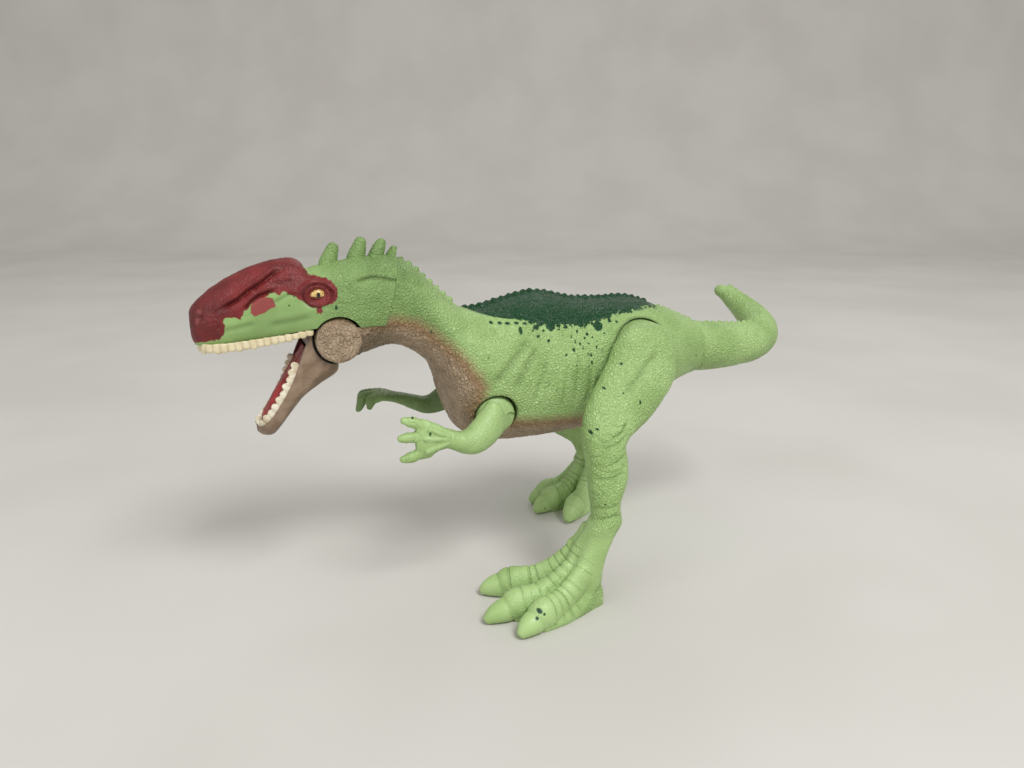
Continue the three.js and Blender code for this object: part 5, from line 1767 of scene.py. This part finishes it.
def build_arm(name, side, rows, fingers):
    piece = arm_body(name, side, rows, fingers)
    facet = place(shoulder[0] + arm_disc_radius * 0.66, side * (arm_disc_out - facet_sunk),
                  shoulder[2] - arm_disc_radius * 0.28)
    inward = unit(place(-0.4, -side * 0.92, 0))
    combine(piece, [rod(facet - inward * wall, facet + inward * facet_depth, facet_radius, 48)])
    points, _ = points_of(piece)
    to_facet = points - facet
    depth = to_facet @ inward
    in_facet = facet_radius + 0.1 - np.linalg.norm(to_facet - np.outer(depth, inward), axis=1)
    # Painted shade in the recessed facet
    crease = blend_step(in_facet, 0, 0.3) * blend_step(depth, 0.35, 0.5) * 0.6
    hand = shoulder[0] - arm_reach * 0.5
    smooth = 0.7 + 0.2 * blend_step(-points[:, 0], -hand - 2, -hand + 2)
    paint_marks(piece, crease=np.maximum(crease, arm_painted_shade[name]), smooth=smooth,
                spots=spot_distance(side_view(points), arm_blots[name]), specks=np.ones(len(points)),
                neck=np.full(len(points), arm_painted_shadow[name]))
    finish_piece(piece, skin, name + "_arm", [name + "_arm"])


build_arm("left", -1, left_arm_shares, left_finger_shares)
build_arm("right", 1, right_arm_shares, right_finger_shares)


# Legs

# Rings from hip to sole: front ahead and up, rear ahead and up, out, half width
left_leg_shares = [
    (0.272, 1.145, -0.108, 1.147, 0.6, 0.4),
    (0.462, 1.08, -0.238, 1.087, 0.62, 0.66),
    (0.562, 1.004, -0.283, 1.011, 0.65, 0.82),
    (0.692, 0.938, -0.243, 0.917, 0.685, 0.92),
    (0.812, 0.871, -0.098, 0.852, 0.72, 1),
    (0.902, 0.805, 0.102, 0.777, 0.755, 1.04),
    (0.957, 0.746, 0.362, 0.72, 0.8, 1.02),
    (0.972, 0.686, 0.482, 0.678, 0.837, 0.96),
    (0.962, 0.629, 0.482, 0.614, 0.874, 0.92),
    (0.957, 0.564, 0.497, 0.553, 0.91, 0.88),
    (0.957, 0.5, 0.562, 0.5, 0.948, 0.82),
    (0.947, 0.432, 0.632, 0.436, 0.978, 0.76),
    (0.962, 0.386, 0.622, 0.371, 1, 0.78),
    (1.062, 0.333, 0.702, 0.314, 1, 0.8),
    (1.162, 0.277, 0.792, 0.239, 1, 0.84),
    (1.212, 0.239, 0.842, 0.159, 0.995, 0.88),
    (1.242, 0.205, 0.862, 0.095, 0.99, 0.9),
    (1.262, 0.14, 0.932, 0.038, 0.985, 0.85),
    (1.262, 0.03, 1.032, -0.03, 0.985, 0.75),
]
right_leg_shares = [
    (0.272, 1.145, -0.108, 1.147, 0.6, 0.4),
    (0.467, 1.08, -0.233, 1.087, 0.62, 0.66),
    (0.557, 1.004, -0.288, 1.004, 0.65, 0.82),
    (0.627, 0.934, -0.298, 0.928, 0.685, 0.92),
    (0.677, 0.864, -0.268, 0.845, 0.72, 1),
    (0.707, 0.792, -0.218, 0.769, 0.755, 1.04),
    (0.722, 0.72, -0.158, 0.708, 0.8, 1.02),
    (0.702, 0.644, -0.148, 0.655, 0.84, 0.96),
    (0.612, 0.559, -0.238, 0.606, 0.88, 0.92),
    (0.392, 0.466, -0.368, 0.561, 0.92, 0.88),
    (0.142, 0.403, -0.498, 0.511, 0.96, 0.84),
    (-0.058, 0.348, -0.618, 0.455, 1, 0.8),
    (-0.168, 0.28, -0.738, 0.386, 1.04, 0.8),
    (-0.138, 0.22, -0.788, 0.294, 1.07, 0.84),
    (-0.138, 0.167, -0.758, 0.18, 1.09, 0.88),
    (-0.138, 0.114, -0.718, 0.076, 1.1, 0.85),
    (-0.188, 0.03, -0.638, -0.03, 1.1, 0.75),
]
feet = {
    "left": {"side": -1, "ahead": 0.862, "out": 1, "toe_in": -1, "size": 1, "rows": left_leg_shares},
    "right": {"side": 1, "ahead": -0.418, "out": 1.056, "toe_in": 18, "size": 0.8, "rows": right_leg_shares},
}
# Toes: root across, turn in degrees, length
toe_shares = [(0.08, 23, 0.95), (0, 0, 1), (0, -20, 0.88)]
# Stops along a toe: share of its length, height, half size up and across
toe_stop_shares = [
    (0.03, 4.3, 0.6, 0.6),
    (0.13, 3, 0.7, 0.62),
    (0.3, 1.85, 0.78, 0.62),
    (0.48, 1.12, 0.84, 0.61),
    (0.63, 0.9, 0.9, 0.68),
    (0.71, 0.86, 0.92, 0.76),
    (0.76, 0.78, 0.84, 0.72),
    (0.775, 0.7, 0.76, 0.66),
    (0.86, 0.6, 0.65, 0.62),
    (0.94, 0.42, 0.47, 0.45),
    (1, 0.2, 0.2, 0.2),
]
claw_share = 0.77
scute_step = 2.1
leg_pebble = (1.15, 0.1)
leg_swell = (2.8, 0.1)
knee_wrinkle = (2.4, 0.22)
# Grooves of the foot: width and depth
scute_groove = (0.2, 0.3)
claw_groove = (0.34, 0.24)
toe_groove = (0.7, 0.4)
# Widths of the painted shade along the same grooves
scute_shade, claw_shade, toe_shade = 0.22, 0.25, 0.6
# Heights, or distances for foot_off, between which each part of the leg begins
foot_up = (21, 16)
foot_off = (2.4, 1.2)
thigh_up = (17, 23)
between_toes_up = (20, 17)
knee_up = (22, 28)
above_knee_up = (46, 38)
outer_toe_out = -30.5
toe_blots_up = 10
# Half size up and across of the skin between heel and toe
web_shares = [(1.1, 0.62), (0.62, 0.75), (0.32, 0.5)]
leg_blots = [
    (-33.9, 4.4, 0.5, 0.3), (-33, 5.6, 0.6, 0.45), (-32.2, 5, 0.3, 0.3), (-16.3, 39.4, 0.25, 0.5),
    (-15.2, 40.2, 0.4, 0.25), (-11.8, 48.2, 0.3, 0.3), (-8.3, 47.3, 0.24, 0.24), (-4.7, 45.2, 0.3, 0.5),
    (-15.2, 24.5, 0.26, 0.2), (-7.3, 53.2, 0.3, 0.3),
]


def leg_place(ahead, up, out, side):
    return place(hip[0] - ahead * leg_reach, side * out * ankle_out, up * hip_height)


def heading(degrees, side):
    angle = math.radians(degrees)
    return place(-math.cos(angle), -side * math.sin(angle), 0)


def toe_stops(foot, toe):
    root, turn, length = toe
    side, toe_in = foot["side"], foot["toe_in"]
    start = leg_place(foot["ahead"], 0, foot["out"], side) + heading(toe_in + 90, side) * root * foot_reach
    ahead = heading(toe_in + turn, side)
    stops = []
    for share, rise, up, across in refined(toe_stop_shares, 6):
        centre = start + ahead * share * length * foot["size"] * foot_reach + UP * rise * toe_radius
        stops.append((centre, up * toe_radius, across * toe_radius, share))
    return stops


def toe_web(foot, toe):
    """Low skin from the heel to a toe."""
    stops = toe_stops(foot, toe)
    line = [stops[0][0], stops[len(stops) // 3][0], stops[len(stops) * 5 // 8][0]]
    web = []
    for centre, (up, across) in zip(line, web_shares):
        middle = place(centre[0], centre[1], up * toe_radius * 0.5)
        web.append((middle, up * toe_radius, across * toe_radius))
    return limb(web, UP, 32)


def along_toes(points, foot):
    """The nearest toe's walked length and share, how far it is, and how much farther the next one is."""
    best = np.full(len(points), 1e9)
    second = best.copy()
    walked = np.zeros(len(points))
    share = np.zeros(len(points))
    for toe in toe_shares:
        before = best.copy()
        own = np.full(len(points), 1e9)
        stops = toe_stops(foot, toe)
        line = np.array([stop[0] for stop in stops])
        sizes = np.array([stop[1] for stop in stops])
        lengths = walk(line)
        for i in range(len(line) - 1):
            step = line[i + 1] - line[i]
            t = np.clip((points - line[i]) @ step / (step @ step), 0, 1)
            far = np.linalg.norm(points - line[i] - t[:, None] * step, axis=1) - sizes[i]
            own = np.minimum(own, far)
            closer = far < best
            best = np.where(closer, far, best)
            walked = np.where(closer, lengths[i] + t * (lengths[i + 1] - lengths[i]), walked)
            share = np.where(closer, stops[i][3] + t * (stops[i + 1][3] - stops[i][3]), share)
        second = np.minimum(second, np.maximum(before, own))
    return walked, share, best, second - best


thigh_groove = ([(1.5, 56), (0.4, 54.3), (-2.3, 52.2), (-4.3, 50.2), (-6.5, 48.5), (-8, 46.8)], 0.9, 0.5)
knee_folds = [
    ([(-8.2, 41.5), (-10, 39.2), (-13, 38)], 0.4, 0.6),
    ([(-8.4, 39), (-11, 37), (-15.5, 36.2)], 0.4, 0.4),
    ([(-9, 34.5), (-12, 33), (-16, 32)], 0.4, 0.4),
    ([(-9.6, 31), (-13, 30), (-17, 29.4)], 0.4, 0.3),
]
ankle_folds = [
    ([(-19, 19), (-17, 20.6), (-14, 21.8), (-11.5, 21.6)], 0.4, 0.5),
    ([(-18.4, 22.4), (-15.4, 23.6), (-11.6, 24)], 0.4, 0.3),
    ([(-19.6, 16.6), (-18, 18.2), (-16.6, 19)], 0.35, 0.3),
]


def leg_solids(foot):
    side = foot["side"]
    rings = []
    for front_ahead, front_up, rear_ahead, rear_up, out, width in refined(foot["rows"], 5):
        front = leg_place(front_ahead, front_up, out, side)
        rear = leg_place(rear_ahead, rear_up, out, side)
        rings.append(section_ring(front, rear, ACROSS, width * leg_half_width, 0.5, 2.2, 64))
    solids = [loft(rings),
              limb_disc(hip, side, hip_disc_radius, hip_seat + seat_gap, hip_disc_flush, hip_disc_out)]
    for toe in toe_shares:
        solids.append(limb([stop[:3] for stop in toe_stops(foot, toe)], UP, 40))
        solids.append(toe_web(foot, toe))
    inward = heading(foot["toe_in"] + 90, side)
    root = leg_place(foot["ahead"], 0.29, foot["out"], side) + inward * 0.55 * leg_half_width
    tip = root + heading(foot["toe_in"] + 20, side) * 1.5 * toe_radius - UP * 0.7 * toe_radius
    solids.append(crown_spike(root, tip, 0.5 * toe_radius))
    return solids


def foot_parts(points, normals, foot):
    """Where the foot, its scutes' grooves, its tops, the claws' roots and the gaps between toes are."""
    walked, share, far, further = along_toes(points, foot)
    on_foot = blend_step(points[:, 2], *foot_up) * blend_step(far, *foot_off)
    phase = np.abs((walked / (scute_step * foot["size"]) % 1) - 0.5) * scute_step
    top = blend_step(normals[:, 2], -0.35, 0.15)
    to_claw = (share - claw_share) * foot_reach
    between = further, blend_step(points[:, 2], *between_toes_up) * (share < 0.5)
    return on_foot, share, phase, top, to_claw, between


def leg_heights(foot, folds):
    def heights(points, normals):
        flat = side_view(points)
        on_foot, share, phase, top, to_claw, (further, between) = foot_parts(points, normals, foot)
        out = np.abs(points[:, 1])
        thigh = blend_step(points[:, 2], *thigh_up) * blend_step(out, hip_disc_flush - 1.5, hip_disc_flush)
        rise = pebbled(points, leg_pebble, 71) * thigh + swelling(points, leg_swell, 73)
        knee = blend_step(points[:, 2], *knee_up) * blend_step(points[:, 2], *above_knee_up)
        size, depth = knee_wrinkle
        wrinkles = noise(points * place(0.55, 0.55, 1.5), size, 75)
        rise -= depth * bell(wrinkles, 0.14) * knee
        outside = blend_step(np.abs(normals[:, 1]), 0.1, 0.5)
        for line, width, depth in folds:
            rise -= furrow(flat, line, width) * depth * outside * thigh
        toe_part = blend_step(share, 0.06, 0.12) * blend_step(share, claw_share - 0.03, claw_share - 0.05)
        grooves = ((phase, scute_groove, top * on_foot * toe_part), (to_claw, claw_groove, on_foot),
                   (further, toe_groove, top * between))
        for distance, (width, depth), where in grooves:
            rise -= depth * bell(distance, width) * where
        return rise

    return heights


def leg_creases(points, normals, foot, folds):
    flat = side_view(points)
    on_foot, share, phase, top, to_claw, (further, between) = foot_parts(points, normals, foot)
    toe_part = on_foot * (share > 0.08) * (share < claw_share - 0.04)
    # Painted shade in the scutes' grooves, at the claws' roots and between the toes
    crease = 0.5 * bell(phase, scute_shade) * toe_part * top
    crease = np.maximum(crease, 0.8 * bell(to_claw, claw_shade) * on_foot)
    crease = np.maximum(crease, 0.5 * bell(further, toe_shade) * between * top)
    # The whole foot a little darker
    crease = np.maximum(crease, 0.2 * on_foot)
    # Painted shade along the leg's folds
    for line, width, depth in folds:
        crease = np.maximum(crease, furrow(flat, line, width * 0.7) * depth * 0.8 * (points[:, 2] > 15))
    return crease


def build_leg(name):
    foot = feet[name]
    side = foot["side"]
    folds = [thigh_groove] + (knee_folds + ankle_folds if side < 0 else [])
    piece = united(name + "_leg_skin", leg_solids(foot), leg_grid, 4)
    raise_skin(piece, leg_heights(foot, folds))
    low = place(-2 * trunk_length, -2 * ankle_out, -overrun)
    combine(piece, [block(low, place(trunk_length, 2 * ankle_out, 0))])
    add_peg(piece, hip, side, hip_seat, hip_peg_radius)
    points, normals = points_of(piece)
    on_foot, share = foot_parts(points, normals, foot)[:2]
    inner_toes = (points[:, 2] < toe_blots_up) & (points[:, 1] > outer_toe_out)
    paint_marks(
        piece, crease=leg_creases(points, normals, foot, folds), specks=np.ones(len(points)),
        smooth=np.maximum(on_foot * 0.75, (share > claw_share) * on_foot),
        spots=np.where(inner_toes, unpainted, spot_distance(side_view(points), leg_blots)),
    )
    finish_piece(piece, skin, name + "_leg", [name + "_leg"])


build_leg("left")
build_leg("right")


# Plain finishes of the nodes that stay

for name, node in frame["nodes"].items():
    if "screw" in name or "washer" in name:
        finish = steel
    elif "pin" in name:
        finish = pin_steel
    elif name == "palate_insert":
        finish = upper_cream
    elif name == "tongue_insert":
        finish = mouth_red
    else:
        finish = skin
    for slot in node.material_slots:
        slot.material = finish


# Floor, lamps and camera


# The stage in metres: the floor's half length, its reach to the backdrop, and the bend between
floor_half = 1.6
floor_reach = 1.1
floor_bend = 0.3
backdrop_height = 1.4
floor_turn = -0.37
floor_cloud = 90.0


def build_stage():
    paint = Paint("pale_floor", 0.8)
    tone = paint.blotched(floor_cloud, 2, (0.3, 0.7), colour(208, 206, 201), colour(202, 199, 193))
    flat_end = floor_reach - floor_bend
    profile = [(-floor_half, 0.0), (flat_end, 0.0)]
    for angle in np.linspace(0, math.pi / 2, 12):
        profile.append((flat_end + floor_bend * math.sin(angle), floor_bend - floor_bend * math.cos(angle)))
    profile.append((floor_reach, backdrop_height))
    points = [(x, y, z) for y, z in profile for x in (-floor_half * 2, floor_half * 2)]
    faces = [(i, i + 1, i + 3, i + 2) for i in range(0, len(points) - 2, 2)]
    mesh = bpy.data.meshes.new("floor")
    mesh.from_pydata(points, [], faces)
    mesh.materials.append(paint.done(tone))
    mesh.polygons.foreach_set("use_smooth", np.ones(len(mesh.polygons), dtype=bool))
    floor = bpy.data.objects.new("floor", mesh)
    bpy.context.scene.collection.objects.link(floor)
    floor.rotation_euler = (0, 0, floor_turn)


def lamp(name, at, aim, size, watts):
    data = bpy.data.lights.new(name, "AREA")
    data.shape = "DISK"
    data.size = size
    data.energy = watts
    light = bpy.data.objects.new(name, data)
    light.location = at
    direction = bpy.data.objects.new(name + "_aim", None)
    direction.location = aim
    bpy.context.scene.collection.objects.link(light)
    bpy.context.scene.collection.objects.link(direction)
    track = light.constraints.new("TRACK_TO")
    track.target = direction
    track.track_axis = "TRACK_NEGATIVE_Z"
    track.up_axis = "UP_Y"


# Each lamp: its place and what it looks at in metres, its size, and its power in watts
lamps = {
    "key": ((0.12, -0.6, 0.78), (0, 0, 0.04), 0.4, 6.2),
    "fill": ((-0.75, -0.35, 0.4), (0, 0, 0.04), 0.6, 1.2),
    "rim": ((0.3, 0.6, 0.6), (0, 0, 0.05), 0.25, 0.6),
}
world_tint = (1, 0.99, 0.97, 1)
world_strength = 0.55
sensor_width = 36
lens_length = 28.125
clip_start = 0.01
camera_at = place(-92.11, -173.16, 94)
camera_pitch = math.radians(14.7)
camera_turn = math.atan2(-0.3584, 0.9336)

build_stage()
for lamp_name, setting in lamps.items():
    lamp(lamp_name, *setting)

world = bpy.data.worlds.new("studio")
world.use_nodes = True
background = world.node_tree.nodes["Background"]
background.inputs["Color"].default_value = world_tint
background.inputs["Strength"].default_value = world_strength
bpy.context.scene.world = world

camera_data = bpy.data.cameras.new("camera")
camera_data.sensor_width = sensor_width
camera_data.lens = lens_length
camera_data.clip_start = clip_start
camera = bpy.data.objects.new("camera", camera_data)
camera.location = (camera_at + shift) * MM
camera.rotation_euler = (math.pi / 2 - camera_pitch, 0, camera_turn)
bpy.context.scene.collection.objects.link(camera)
bpy.context.scene.camera = camera
bpy.context.scene.view_settings.view_transform = "Standard"
